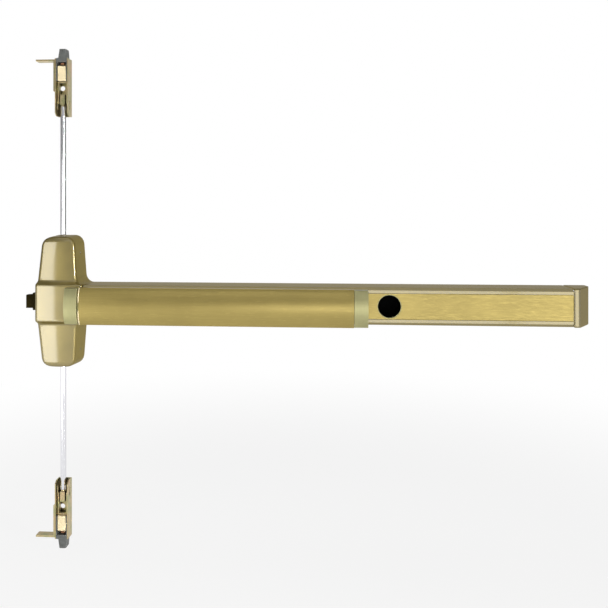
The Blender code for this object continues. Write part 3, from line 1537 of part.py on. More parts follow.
def angle_rivet(end, side):
    """A rivet through the angle and the case's left wall, its head outside."""
    face = LATCH_CASE_HALF + GAP + ANGLE_STEEL
    tail = LATCH_CASE_HALF - LATCH_CASE_WALL
    return screw_in(
        f"{end}_angle_rivet",
        (ROD_X, ROD_Y, side * ANGLE_RIVET_Z),
        face + GAP,
        tail,
        (0, math.radians(-90), 0),
        RIVET_RADIUS,
        RIVET_HEAD_RADIUS,
        RIVET_HEAD_HEIGHT,
        "yellow_zinc",
    )


def rod_pieces(end, side):
    """Everything that moves up and down with one rod, its slide apart."""
    makers = (rod, jam_nut, clevis, cross_pin, slide_frame, block, bolt_spring, latch_bolt)
    return [make(end, side) for make in makers]


def fixed_pieces():
    centre_case_cover()
    cover_screws()
    base_plate()
    tongue_screws()
    mechanism_case()
    cover_plate()
    cylinder_cup()
    end_cap()
    end_cap_bracket()
    case_screw("end_bracket_screw", end_screw_x(), 0, BRACKET_STEEL)
    crank_stud()
    for side, x in CRANK_X.items():
        crank_bracket(side)
        crank_pin(side)
        for label, sign in (("upper", 1), ("lower", -1)):
            case_screw(f"crank_screw_{side}_{label}", x, sign * BRACKET_SCREW_Z, BRACKET_STEEL)
    for end, side in (("top", 1), ("bottom", -1)):
        latch_case(end, side)
        mounting_angle(end, side)
        angle_rivet(end, side)


def moving_pieces():
    bar_pieces = [push_bar(), *trims(), pad_bracket("left"), pad_bracket("right")]
    carry("push_bar_motion", (0, -BAR_PROJECTION, 0), bar_pieces)
    for side, x in CRANK_X.items():
        axis = (x, -CRANK_AXIS_DEPTH, 0)
        carry(f"bell_crank_{side}_axis", axis, [bell_crank(side), pad_pin(side)])
    carry("draw_link_motion", (0, SPRING_Y, LINK_Z), [draw_link(), return_spring()])
    carry("centre_crank_axis", (0, 0, 0), [centre_crank()])
    carry("rim_latch_motion", (-LATCH_TIP, -LATCH_FRONT, 0), [rim_latch_bolt()])
    for label, end, side in (("upper", "top", 1), ("lower", "bottom", -1)):
        pieces = [slide(f"{label}_slide", side), *rod_pieces(end, side)]
        carry(f"{end}_rod_motion", (ROD_X, ROD_Y, 0), pieces)


def main():
    clear_scene()
    make_collections()
    make_materials()
    fixed_pieces()
    moving_pieces()


main()
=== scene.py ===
"""Vertical rod exit device: finished skins, small forms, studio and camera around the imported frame.

Lengths are in metres and in the frame's own axes: +X along the push bar, +Y into the door, +Z up.
"""

import json
import math

import bmesh
import bpy
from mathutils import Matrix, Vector

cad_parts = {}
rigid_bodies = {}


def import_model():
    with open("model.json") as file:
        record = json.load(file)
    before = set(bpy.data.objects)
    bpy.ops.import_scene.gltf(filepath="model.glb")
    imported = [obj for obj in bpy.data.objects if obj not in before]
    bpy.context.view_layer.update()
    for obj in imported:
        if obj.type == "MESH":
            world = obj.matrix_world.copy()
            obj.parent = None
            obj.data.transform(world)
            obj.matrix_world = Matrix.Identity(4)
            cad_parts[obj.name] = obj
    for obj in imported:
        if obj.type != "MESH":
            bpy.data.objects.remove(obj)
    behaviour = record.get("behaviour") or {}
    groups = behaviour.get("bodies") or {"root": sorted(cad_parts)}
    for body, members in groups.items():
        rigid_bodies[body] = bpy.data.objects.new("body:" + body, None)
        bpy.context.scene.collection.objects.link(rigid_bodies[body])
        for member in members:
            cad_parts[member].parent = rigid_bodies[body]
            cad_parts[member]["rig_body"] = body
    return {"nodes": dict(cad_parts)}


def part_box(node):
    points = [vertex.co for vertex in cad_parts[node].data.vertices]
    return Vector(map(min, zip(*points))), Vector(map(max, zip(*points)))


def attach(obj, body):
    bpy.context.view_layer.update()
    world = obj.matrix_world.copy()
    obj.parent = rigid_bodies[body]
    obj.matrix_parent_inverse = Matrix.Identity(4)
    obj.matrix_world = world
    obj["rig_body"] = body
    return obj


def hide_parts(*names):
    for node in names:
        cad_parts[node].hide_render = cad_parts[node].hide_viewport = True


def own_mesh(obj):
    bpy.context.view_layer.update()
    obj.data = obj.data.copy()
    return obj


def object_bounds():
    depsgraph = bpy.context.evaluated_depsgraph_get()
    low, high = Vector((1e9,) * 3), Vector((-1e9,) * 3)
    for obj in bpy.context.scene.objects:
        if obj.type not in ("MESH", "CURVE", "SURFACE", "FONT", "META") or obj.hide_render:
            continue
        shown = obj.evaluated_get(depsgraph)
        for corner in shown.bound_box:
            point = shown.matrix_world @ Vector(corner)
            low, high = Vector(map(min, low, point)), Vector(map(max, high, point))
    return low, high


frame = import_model()
CAD_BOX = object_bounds()

bl_info = {
    "name": "Vertical rod exit device",
    "version": (1, 0, 0),
    "blender": (4, 5, 0),
    "location": "3D View > Sidebar > Exit device",
    "description": "Dresses the exit device's packed frame in its metals and sets up a small studio",
    "category": "Object",
}

MM = 0.001
WELD = 0.002 * MM
FLAT_ANGLE = math.radians(0.4)
SHARP_ANGLE = math.radians(35)
SKIN_SHARP_ANGLE = math.radians(50)
WHITE = (1, 1, 1)

# Socket screws: the chamfer on their rim, and the hexagon's size as a share of the radius
SCREW_CHAMFER = 0.25 * MM
SOCKET_SHARE = 0.55
SCREW_STEPS = 24

# Rivets: the shank's radius and the head's height as shares of the head's radius
RIVET_SHANK_SHARE = 0.6
RIVET_HEIGHT_SHARE = 0.4
RIVET_DOME_STEPS = 6

# Springs
COIL_STEPS_A_TURN = 28
WIRE_STEPS = 10
LATCH_SPRING_TURNS = 2
LATCH_SPRING_WIRE = 0.65 * MM
RETURN_SPRING_TURNS = 8
RETURN_SPRING_WIRE = 0.5 * MM

# The seal at the bar's left end: where it starts and ends left of the bar, how far its outline
# lies behind the bar's, and the height of its notch
SEAL_START = 1.3 * MM
SEAL_END = 0.15 * MM
SEAL_INSET = 0.4 * MM
SEAL_NOTCH = 12 * MM

# The turned rim in the round hole of the cover plate
CUP_WALL = 1.5 * MM
RING_GAP = 0.1 * MM
RING_WIDTH = 0.8 * MM
RING_SETBACK = 0.2 * MM
RING_DEPTH = 1.8 * MM
RING_STEPS = 64

# The camera's picture and its shift, in pixels
PICTURE_WIDTH = 608
SHIFT_RIGHT = 29.9
SHIFT_UP = -96.15

# The floor: its size, how white it looks near the device, and where it fades
FLOOR_SIZE = 6
FLOOR_WHITE = 0.85
FLOOR_FADE_START = 0.5
FLOOR_FADE_END = 1.6

# The room: its light from every side and what the front and back walls add, as shares of the
# room light, and the cosine from straight ahead at which mirrors stop seeing the backdrop
SIDE_SHARE = 0.5
WALL_SHARE = 0.85
BACKDROP_EDGE = 0.7

# Each soft lamp's name, place, target, width, height, watts and spread in degrees
LAMPS = (
    ("left softbox", (-0.33, -0.6, -0.07), (0, -0.05, -0.03), 0.2, 0.68, 1.5, 180),
    ("right softbox", (0.6, -1.6, -0.14), (0.5, -0.05, 0), 0.9, 0.4, 2.2, 180),
    ("edge softbox", (1.2, -1.05, 0), (0, -0.05, 0), 0.6, 0.8, 3, 180),
    ("top softbox", (0.38, -1.7, 1.2), (0.38, 0, 0), 1.6, 0.6, 2, 180),
    ("ceiling softbox", (0.42, -0.2, 1.1), (0.42, -0.05, 0), 1.8, 0.4, 2, 180),
    ("rim softbox", (1.2, -1.05, 0), (0.03, -0.05, 0), 0.08, 0.8, 1.7, 40),
)

# Which finish each node gets, and the width of its broken edges in millimetres
OUTER_SKINS = {
    "centre_case_cover": ("satin_bronze", 0.35),
    "mechanism_case": ("satin_bronze", 0.5),
    "end_cap": ("satin_bronze", 0.3),
    "cover_plate": ("brushed_bronze", 0.3),
    # The cup behind the cylinder hole, near black as painted shade inside the hole
    "cylinder_cup": ("black", 0.2),
}
BAR_SKINS = {
    "push_bar": ("brushed_bronze", 0.35),
    "left_trim": ("trim_bronze", 0.35),
    "right_trim": ("trim_bronze", 0.35),
}
LATCH_SKINS = {"rim_latch_bolt": ("latch_dark", 0.5)}
# The nodes at each rod's end, without their top_ or bottom_
ROD_SKINS = {
    "rod": ("steel", 0.3),
    "jam_nut": ("yellow_zinc", 0.25),
    "clevis": ("yellow_zinc", 0.3),
    "cross_pin": ("yellow_zinc", 0.2),
    "slide_frame": ("yellow_zinc", 0.25),
    "bolt_block": ("pale_block", 0.3),
    "latch_bolt": ("bolt_grey", 0.6),
    "latch_case": ("yellow_zinc", 0.3),
    "mounting_angle": ("yellow_zinc", 0.4),
}
# The nodes inside, which keep their own form
INNER_FINISHES = {
    "dull_steel": (
        "base_plate",
        "tongue_screw_upper",
        "tongue_screw_lower",
        "end_cap_bracket",
        "end_bracket_screw",
        "crank_bracket_left",
        "crank_bracket_right",
        "crank_screw_left_upper",
        "crank_screw_left_lower",
        "crank_screw_right_upper",
        "crank_screw_right_lower",
        "pad_bracket_left",
        "pad_bracket_right",
    ),
    "steel": ("crank_stud", "crank_pin_left", "crank_pin_right", "pad_pin_left", "pad_pin_right"),
    "yellow_zinc": (
        "bell_crank_left",
        "bell_crank_right",
        "draw_link",
        "centre_crank",
        "upper_slide",
        "lower_slide",
    ),
}


class ExitDeviceFinishes(bpy.types.PropertyGroup):
    """Colours of the metals and plastics, as linear values."""

    satin_bronze: bpy.props.FloatVectorProperty(
        name="Satin bronze",
        description="Colour of the centre case, the mechanism case and the end cap",
        subtype="COLOR",
        size=3,
        min=0,
        max=1,
        default=(0.262, 0.206, 0.06),
    )
    brushed_bronze: bpy.props.FloatVectorProperty(
        name="Brushed bronze",
        description="Colour of the push bar and the cover plate",
        subtype="COLOR",
        size=3,
        min=0,
        max=1,
        default=(0.37, 0.288, 0.09),
    )
    trim_bronze: bpy.props.FloatVectorProperty(
        name="Trim bronze",
        description="Colour of the two caps on the push bar's ends",
        subtype="COLOR",
        size=3,
        min=0,
        max=1,
        default=(0.37, 0.352, 0.172),
    )
    yellow_zinc: bpy.props.FloatVectorProperty(
        name="Yellow zinc",
        description="Colour of the plated rod latches and cranks",
        subtype="COLOR",
        size=3,
        min=0,
        max=1,
        default=(0.56, 0.45, 0.25),
    )
    steel: bpy.props.FloatVectorProperty(
        name="Bright steel",
        description="Colour of the rods and the pins",
        subtype="COLOR",
        size=3,
        min=0,
        max=1,
        default=(0.82, 0.82, 0.85),
    )
    bolt_grey: bpy.props.FloatVectorProperty(
        name="Bolt grey",
        description="Colour of the rod latches' bolts",
        subtype="COLOR",
        size=3,
        min=0,
        max=1,
        default=(0.15, 0.157, 0.15),
    )
    latch_dark: bpy.props.FloatVectorProperty(
        name="Dark latch",
        description="Colour of the rim latch bolt",
        subtype="COLOR",
        size=3,
        min=0,
        max=1,
        default=(0.02, 0.015, 0.004),
    )
    pale_block: bpy.props.FloatVectorProperty(
        name="Pale block",
        description="Colour of the plastic blocks behind the bolts",
        subtype="COLOR",
        size=3,
        min=0,
        max=1,
        default=(0.88, 0.74, 0.46),
    )


class ExitDeviceSizes(bpy.types.PropertyGroup):
    """Sizes of the small forms that the finished skins add."""

    edge_share: bpy.props.FloatProperty(
        name="Broken edges",
        description="Share of each piece's own edge width that is rounded off",
        subtype="FACTOR",
        min=0.1,
        max=2,
        default=1,
    )
    socket_depth: bpy.props.FloatProperty(
        name="Socket depth",
        description="Depth of the hexagon sockets in the cover's screws",
        subtype="DISTANCE",
        unit="LENGTH",
        min=0.2 * MM,
        max=2 * MM,
        default=1.2 * MM,
    )
    rivet_dome: bpy.props.FloatProperty(
        name="Rivet dome",
        description="Share of a rivet head's height that is domed",
        subtype="FACTOR",
        min=0.1,
        max=1,
        default=0.75,
    )


class ExitDeviceStudio(bpy.types.PropertyGroup):
    """The studio: camera, floor and light."""

    camera_distance: bpy.props.FloatProperty(
        name="Camera distance",
        description="From the camera to the door face",
        subtype="DISTANCE",
        unit="LENGTH",
        min=0.5,
        max=5,
        default=1.196,
    )
    camera_x: bpy.props.FloatProperty(
        name="Camera place",
        description="The camera's place along the push bar",
        subtype="DISTANCE",
        unit="LENGTH",
        min=-1,
        max=2,
        default=0.43,
    )
    camera_height: bpy.props.FloatProperty(
        name="Camera height",
        description="The camera's height above the push bar's middle line",
        subtype="DISTANCE",
        unit="LENGTH",
        min=-1,
        max=1,
        default=0.1496,
    )
    camera_turn: bpy.props.FloatProperty(
        name="Camera turn",
        description="How far the camera turns to the left about its own upright axis",
        subtype="ANGLE",
        unit="ROTATION",
        min=math.radians(-20),
        max=math.radians(20),
        default=math.radians(4.3),
    )
    camera_roll: bpy.props.FloatProperty(
        name="Camera roll",
        description="How far the camera tips about its own line of sight",
        subtype="ANGLE",
        unit="ROTATION",
        min=math.radians(-5),
        max=math.radians(5),
        default=0,
    )
    lens: bpy.props.FloatProperty(
        name="Lens",
        description="Focal length on a 36 mm wide sensor",
        subtype="DISTANCE_CAMERA",
        unit="CAMERA",
        min=20,
        max=200,
        default=44.1,
    )
    room_light: bpy.props.FloatProperty(
        name="Room light",
        description="Strength of the soft light from all round",
        min=0,
        max=2,
        default=0.31,
    )
    floor_gap: bpy.props.FloatProperty(
        name="Floor gap",
        description="From the lower bolt's tip down to the floor",
        subtype="DISTANCE",
        unit="LENGTH",
        min=0,
        max=1,
        default=0.02,
    )


class Wire:
    """An output socket, so that maths on it reads as plain expressions."""

    def __init__(self, nodes, socket, kind="number"):
        self.nodes = nodes
        self.socket = socket
        self.kind = kind

    def combine(self, operation, first, second):
        inputs = {0: first, 1: second}
        if self.kind == "number":
            return self.nodes.node("ShaderNodeMath", {"operation": operation}, inputs)
        if self.kind == "vector":
            settings = {"operation": operation}
            return self.nodes.node("ShaderNodeVectorMath", settings, inputs, kind="vector")
        settings = {"data_type": "RGBA", "blend_type": operation}
        return self.nodes.node("ShaderNodeMix", settings, {0: 1.0, 6: first, 7: second}, 2, "colour")

    def __add__(self, other):
        return self.combine("ADD", self, other)

    def __radd__(self, other):
        return self.combine("ADD", other, self)

    def __sub__(self, other):
        return self.combine("SUBTRACT", self, other)

    def __rsub__(self, other):
        return self.combine("SUBTRACT", other, self)

    def __mul__(self, other):
        return self.combine("MULTIPLY", self, other)

    def __rmul__(self, other):
        return self.combine("MULTIPLY", other, self)


class Nodes:
    """A node tree in the making, of a material or of the world."""

    def __init__(self, tree):
        self.tree = tree
        tree.nodes.clear()

    def feed(self, socket, value):
        """Sets a socket's value, or links a wire to it."""
        if isinstance(value, Wire):
            self.tree.links.new(value.socket, socket)
        elif isinstance(value, tuple) and len(socket.default_value) == 4:
            socket.default_value = (*value, 1) if len(value) == 3 else value
        else:
            socket.default_value = value

    def node(self, kind_of_node, settings=None, inputs=None, output=0, kind="number"):
        """Adds a node and gives back one of its outputs."""
        node = self.tree.nodes.new(kind_of_node)
        for key, value in (settings or {}).items():
            setattr(node, key, value)
        for key, value in (inputs or {}).items():
            self.feed(node.inputs[key], value)
        return Wire(self, node.outputs[output], kind) if node.outputs else None

    def ray(self, name):
        """1 for rays of one kind, such as Is Camera Ray."""
        return self.node("ShaderNodeLightPath", output=name)

    def larger(self, first, second):
        return self.node("ShaderNodeMath", {"operation": "MAXIMUM"}, {0: first, 1: second})

    def mix_shaders(self, share, first, second):
        return self.node("ShaderNodeMixShader", None, {0: share, 1: first, 2: second}, kind="shader")


class Finish(Nodes):
    """A material in the making: one Principled shader and the nodes behind it."""

    def __init__(self, name):
        self.material = bpy.data.materials.new(name + "_finish")
        self.material.use_nodes = True
        super().__init__(self.material.node_tree)

    def place(self):
        """The point on the piece, in metres in the frame's axes."""
        return self.node("ShaderNodeTexCoord", output="Object", kind="vector")

    def facing_room(self):
        """1 on faces that look straight into the room, 0 on those that look along the door."""
        outward = self.node("ShaderNodeTexCoord", output="Normal", kind="vector")
        settings = {"operation": "DOT_PRODUCT"}
        return self.node("ShaderNodeVectorMath", settings, {0: outward, 1: (0, -1, 0)}, "Value")

    def noise(self, place, scale, detail=2.0, roughness=0.5):
        inputs = {"Vector": place, "Scale": scale, "Detail": detail, "Roughness": roughness}
        return self.node("ShaderNodeTexNoise", None, inputs, "Fac")

    def band(self, value, low, high, first=0.0, last=1.0):
        """Value carried smoothly from low..high to first..last."""
        inputs = {"Value": value, "From Min": low, "From Max": high, "To Min": first, "To Max": last}
        return self.node("ShaderNodeMapRange", {"interpolation_type": "SMOOTHSTEP"}, inputs)

    def blend(self, share, first, second):
        settings = {"data_type": "RGBA", "blend_type": "MIX"}
        return self.node("ShaderNodeMix", settings, {0: share, 6: first, 7: second}, 2, "colour")

    def worn_and_highlit_edges(self):
        """1 on the rounded edges of a skin, 0 elsewhere. The finishes lighten their colour there, which
        shows wear and also paints a highlight along the edges.
        """
        return self.node("ShaderNodeAttribute", {"attribute_name": "broken_edge"}, None, "Fac")

    def open_share(self, distance):
        """1 in the open, towards 0 in gaps and corners narrower than a distance. The finishes darken
        their colour by it, which is painted shade.
        """
        inputs = {"Distance": distance}
        return self.node("ShaderNodeAmbientOcclusion", {"samples": 8}, inputs, "AO")

    def bump(self, height, distance, strength=1.0):
        inputs = {"Height": height, "Distance": distance, "Strength": strength}
        return self.node("ShaderNodeBump", None, inputs, kind="vector")

    def surface(self, **sockets):
        """A Principled shader, its sockets named with underscores."""
        inputs = {key.replace("_", " "): value for key, value in sockets.items()}
        return self.node("ShaderNodeBsdfPrincipled", None, inputs, kind="shader")

    def cover(self, shader):
        """Puts a shader on the material's surface and gives back the material."""
        self.node("ShaderNodeOutputMaterial", None, {"Surface": shader})
        return self.material

    def shade(self, **sockets):
        return self.cover(self.surface(**sockets))


def tint(colour, factor):
    """A colour made lighter or darker."""
    return tuple(min(1.0, channel * factor) for channel in colour)


def satin_bronze(colour):
    """A cast or extruded face, finely blasted, under clear lacquer."""
    finish = Finish("satin_bronze")
    place = finish.place()
    cloud = finish.noise(place, 28.0, 3.0)
    grain = finish.noise(place, 2600.0, 3.0, 0.6)
    fine = finish.noise(place * (400.0, 400.0, 5200.0), 1.0, 2.0)
    tone = finish.blend(finish.band(cloud, 0.3, 0.7), tint(colour, 0.93), tint(colour, 1.07))
    tone = finish.blend(finish.band(grain, 0.35, 0.65, 0.0, 0.14), tone, tint(colour, 0.6))
    # Paler rounded edges: wear, and a painted highlight along the edges
    tone = finish.blend(finish.worn_and_highlit_edges() * 0.35, tone, tint(colour, 1.45))
    # Painted shade: much darker in gaps, grooves and corners narrower than 5 mm
    tone = finish.blend(finish.band(finish.open_share(5 * MM), 0.15, 0.75), tint(colour, 0.35), tone)
    rough = finish.band(grain + cloud * 0.4, 0.4, 1.0, 0.33, 0.42)
    height = grain * 0.6 + fine * 0.4
    return finish.shade(
        Base_Color=tone,
        Metallic=0.8,
        Roughness=rough,
        Specular_Tint=(0.6, 0.53, 0.35),
        Coat_Weight=finish.band(finish.facing_room(), 0.45, 0.85, 0.08, 0.62),
        Coat_Roughness=0.1,
        Coat_IOR=2.2,
        Normal=finish.bump(height, 0.02 * MM, 0.5),
    )


def brushed_bronze(colour):
    """Long brush marks along the bar."""
    finish = Finish("brushed_bronze")
    place = finish.place()
    long_marks = finish.noise(place * (14.0, 900.0, 900.0), 1.0, 4.0, 0.65)
    short_marks = finish.noise(place * (95.0, 620.0, 620.0), 1.0, 3.0, 0.6)
    cloud = finish.noise(place, 16.0, 2.0)
    tone = finish.blend(finish.band(cloud, 0.3, 0.7), tint(colour, 0.95), tint(colour, 1.05))
    tone = finish.blend(finish.band(long_marks, 0.3, 0.7, 0.0, 0.3), tone, tint(colour, 0.72))
    tone = finish.blend(finish.band(short_marks, 0.55, 0.72, 0.0, 0.35), tone, tint(colour, 1.35))
    # Paler rounded edges: wear, and a painted highlight along the edges
    tone = finish.blend(finish.worn_and_highlit_edges() * 0.4, tone, tint(colour, 1.5))
    # Painted shade: much darker in gaps narrower than 3 mm, such as beside the caps
    tone = finish.blend(finish.band(finish.open_share(3 * MM), 0.45, 0.85), tint(colour, 0.25), tone)
    # Painted shadow: milder darkening within 25 mm of parts that stand out, such as the caps over the
    # plate
    tone = finish.blend(finish.band(finish.open_share(25 * MM), 0.4, 0.9), tint(colour, 0.8), tone)
    rough = finish.band(short_marks, 0.3, 0.7, 0.38, 0.28)
    height = long_marks * 0.5 + short_marks * 0.5
    return finish.shade(
        Base_Color=tone,
        Metallic=0.8,
        Roughness=rough,
        Specular_Tint=(0.6, 0.5, 0.25),
        Coat_Weight=0.25,
        Coat_Roughness=0.25,
        Normal=finish.bump(height, 0.05 * MM, 0.6),
    )


def trim_bronze(colour):
    """Satin caps, brushed upright."""
    finish = Finish("trim_bronze")
    place = finish.place()
    marks = finish.noise(place * (1500.0, 60.0, 60.0), 1.0, 3.0, 0.6)
    cloud = finish.noise(place, 45.0, 2.0)
    tone = finish.blend(finish.band(cloud, 0.3, 0.7), tint(colour, 0.93), tint(colour, 1.06))
    tone = finish.blend(finish.band(marks, 0.3, 0.7, 0.0, 0.25), tone, tint(colour, 0.75))
    # Paler rounded edges: wear, and a painted highlight along the edges
    tone = finish.blend(finish.worn_and_highlit_edges() * 0.5, tone, tint(colour, 1.5))
    return finish.shade(
        Base_Color=tone,
        Metallic=0.85,
        Roughness=finish.band(marks, 0.3, 0.7, 0.36, 0.46),
        Coat_Weight=0.2,
        Coat_Roughness=0.3,
        Normal=finish.bump(marks, 0.03 * MM, 0.5),
    )


def yellow_zinc(colour):
    """Passivated zinc plate: pale yellow with faint green and rose clouds."""
    finish = Finish("yellow_zinc")
    place = finish.place()
    cloud = finish.noise(place, 70.0, 4.0, 0.6)
    drift = finish.noise(place + (0.3, 0.1, 0.2), 45.0, 2.0)
    grain = finish.noise(place, 3000.0, 2.0)
    green = (colour[0] * 0.72, colour[1] * 0.88, colour[2] * 0.8)
    rose = (colour[0] * 1.12, colour[1] * 0.92, colour[2] * 1.0)
    tone = finish.blend(finish.band(cloud, 0.38, 0.62), colour, green)
    tone = finish.blend(finish.band(drift, 0.5, 0.7, 0.0, 0.5), tone, rose)
    # Paler rounded edges: wear, and a painted highlight along the edges
    tone = finish.blend(finish.worn_and_highlit_edges() * 0.45, tone, tint(colour, 1.5))
    # Painted shade: much darker inside the latches and in gaps narrower than 10 mm
    tone = finish.blend(finish.band(finish.open_share(10 * MM), 0.1, 0.7), tint(colour, 0.14), tone)
    return finish.shade(
        Base_Color=tone,
        Metallic=0.9,
        Roughness=finish.band(grain, 0.3, 0.7, 0.26, 0.4),
        Normal=finish.bump(grain, 0.02 * MM, 0.4),
    )


def steel(colour):
    """Bright drawn steel with marks along the bar."""
    finish = Finish("steel")
    place = finish.place()
    marks = finish.noise(place * (900.0, 900.0, 12.0), 1.0, 3.0, 0.6)
    cloud = finish.noise(place, 60.0, 2.0)
    tone = finish.blend(finish.band(marks, 0.35, 0.65, 0.0, 0.2), colour, tint(colour, 0.85))
    tone = finish.blend(finish.band(cloud, 0.4, 0.7, 0.0, 0.2), tone, tint(colour, 0.9))
    return finish.shade(
        Base_Color=tone,
        Metallic=1.0,
        Roughness=finish.band(marks, 0.3, 0.7, 0.14, 0.2),
        Normal=finish.bump(marks, 0.005 * MM, 0.3),
    )


def dull_steel(colour):
    """Zinc plated sheet, matt and lightly spangled."""
    finish = Finish("dull_steel")
    place = finish.place()
    spangle = finish.noise(place, 160.0, 3.0, 0.6)
    grain = finish.noise(place, 2400.0, 2.0)
    tone = finish.blend(finish.band(spangle, 0.35, 0.65), tint(colour, 0.8), tint(colour, 1.1))
    return finish.shade(
        Base_Color=tone,
        Metallic=0.9,
        Roughness=finish.band(spangle + grain * 0.4, 0.5, 0.9, 0.4, 0.56),
        Normal=finish.bump(grain, 0.02 * MM, 0.4),
    )


def bolt_grey(colour):
    """Sintered bolt, dark and dry, paler on its edges from rubbing and from a painted highlight."""
    finish = Finish("bolt_grey")
    place = finish.place()
    speck = finish.noise(place, 1500.0, 3.0, 0.7)
    cloud = finish.noise(place, 90.0, 3.0)
    tone = finish.blend(finish.band(cloud, 0.3, 0.7), tint(colour, 0.85), tint(colour, 1.12))
    tone = finish.blend(finish.band(speck, 0.55, 0.75, 0.0, 0.5), tone, tint(colour, 0.5))
    # Paler edges: rubbing wear, and a painted highlight along the edges
    tone = finish.blend(finish.worn_and_highlit_edges() * 0.5, tone, tint(colour, 2.0))
    return finish.shade(
        Base_Color=tone,
        Metallic=0.55,
        Roughness=finish.band(speck, 0.3, 0.7, 0.42, 0.56),
        Normal=finish.bump(speck, 0.04 * MM, 0.5),
    )


def latch_dark(colour):
    """Dark oiled bronze, almost black."""
    finish = Finish("latch_dark")
    place = finish.place()
    speck = finish.noise(place, 1100.0, 3.0, 0.6)
    cloud = finish.noise(place, 80.0, 2.0)
    tone = finish.blend(finish.band(cloud, 0.35, 0.65), colour, tint(colour, 1.7))
    # Paler rounded edges: wear, and a painted highlight along the edges
    tone = finish.blend(finish.worn_and_highlit_edges() * 0.5, tone, tint(colour, 5.0))
    return finish.shade(
        Base_Color=tone,
        Roughness=finish.band(speck, 0.3, 0.7, 0.6, 0.72),
        Specular_IOR_Level=0.05,
        Specular_Tint=(1.0, 0.85, 0.5),
        Normal=finish.bump(speck, 0.03 * MM, 0.5),
    )


def pale_block(colour):
    """Moulded plastic, slightly mottled."""
    finish = Finish("pale_block")
    place = finish.place()
    cloud = finish.noise(place, 120.0, 3.0)
    grain = finish.noise(place, 1800.0, 2.0)
    tone = finish.blend(finish.band(cloud, 0.3, 0.7), tint(colour, 0.93), tint(colour, 1.05))
    return finish.shade(
        Base_Color=tone,
        Roughness=finish.band(grain, 0.3, 0.7, 0.4, 0.55),
        Normal=finish.bump(grain, 0.03 * MM, 0.4),
    )


def copper_spring(colour):
    """Coppery spring wire with drawn marks."""
    finish = Finish("copper_spring")
    place = finish.place()
    grain = finish.noise(place, 1500.0, 3.0)
    tone = finish.blend(finish.band(grain, 0.3, 0.7), tint(colour, 0.8), tint(colour, 1.15))
    return finish.shade(
        Base_Color=tone,
        Metallic=0.95,
        Roughness=finish.band(grain, 0.3, 0.7, 0.26, 0.42),
    )


def black(colour):
    """Near-black moulded cup behind the cylinder hole, faintly grained; so dark that it paints the shade
    inside the hole.
    """
    finish = Finish("black")
    place = finish.place()
    grain = finish.noise(place, 1400.0, 3.0)
    tone = finish.blend(finish.band(grain, 0.4, 0.7), colour, tint(colour, 1.8))
    return finish.shade(
        Base_Color=tone,
        Roughness=finish.band(grain, 0.3, 0.7, 0.7, 0.85),
        Specular_IOR_Level=0.12,
        Normal=finish.bump(grain, 0.05 * MM, 0.4),
    )


FIXED_COLOURS = {
    "dull_steel": (0.42, 0.42, 0.41),
    "copper_spring": (0.62, 0.3, 0.17),
    # Painted shade: the cup behind the cylinder hole is near black, so the hole looks dark inside
    "black": (0.004, 0.004, 0.004),
}
MAKERS = {
    maker.__name__: maker
    for maker in (
        satin_bronze,
        brushed_bronze,
        trim_bronze,
        yellow_zinc,
        steel,
        dull_steel,
        bolt_grey,
        latch_dark,
        pale_block,
        copper_spring,
        black,
    )
}


def finish_named(name):
    """The finish's material, made when it is first asked for."""
    made = bpy.data.materials.get(name + "_finish")
    if made:
        return made
    colours = bpy.context.scene.exit_device_finishes
    colour = FIXED_COLOURS[name] if name in FIXED_COLOURS else tuple(getattr(colours, name))
    return MAKERS[name](colour)


def body_of(node):
    return frame["nodes"][node]["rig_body"]


def add_piece(name, mesh, finish, body, node=None):
    """Links a piece, gives it its finish and lets it ride on its body."""
    piece = bpy.data.objects.new(name, mesh)
    bpy.context.scene.collection.objects.link(piece)
    mesh.materials.clear()
    mesh.materials.append(finish_named(finish))
    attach(piece, body)
    if node:
        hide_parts(node)
    return piece


def clean_form(node):
    """A node's form, welded and with its flat faces whole."""
    bm = bmesh.new()
    bm.from_mesh(frame["nodes"][node].data)
    bmesh.ops.remove_doubles(bm, verts=bm.verts, dist=WELD)
    bmesh.ops.dissolve_limit(bm, angle_limit=FLAT_ANGLE, verts=bm.verts, edges=bm.edges)
    return bm


def made_mesh(bm, name, sharp=SHARP_ANGLE):
    """The mesh of a finished form, smooth but for the edges sharper than an angle."""
    mesh = bpy.data.meshes.new(name)
    bm.to_mesh(mesh)
    bm.free()
    for old in ("custom_normal", "sharp_face", "sharp_edge"):
        attribute = mesh.attributes.get(old)
        if attribute:
            mesh.attributes.remove(attribute)
    mesh.shade_smooth()
    mesh.set_sharp_from_angle(angle=sharp)
    return mesh


def bridge(bm, first, second):
    """Faces between two rings of as many points."""
    for n in range(len(first)):
        after = (n + 1) % len(first)
        bm.faces.new((first[n], first[after], second[after], second[n]))


def skin(node, finish, edge):
    """A welded, smoothly shaded copy of a node's form with its sharp edges broken."""
    width = edge * MM * bpy.context.scene.exit_device_sizes.edge_share
    bm = clean_form(node)
    mark = bm.faces.layers.float.new("broken_edge")
    sharp = [e for e in bm.edges if e.is_manifold and e.calc_face_angle(0) > SHARP_ANGLE]
    made = bmesh.ops.bevel(
        bm,
        geom=sharp,
        offset=width,
        offset_type="OFFSET",
        segments=2,
        profile=0.5,
        affect="EDGES",
        clamp_overlap=True,
    )
    for face in made["faces"]:
        face[mark] = 1.0
    mesh = made_mesh(bm, node + "_skin", SKIN_SHARP_ANGLE)
    piece = add_piece(node + "_skin", mesh, finish, body_of(node), node)
    weighted = piece.modifiers.new("flat faces stay flat", "WEIGHTED_NORMAL")
    weighted.keep_sharp = True


def dress(skins):
    for node, (finish, edge) in skins.items():
        skin(node, finish, edge)


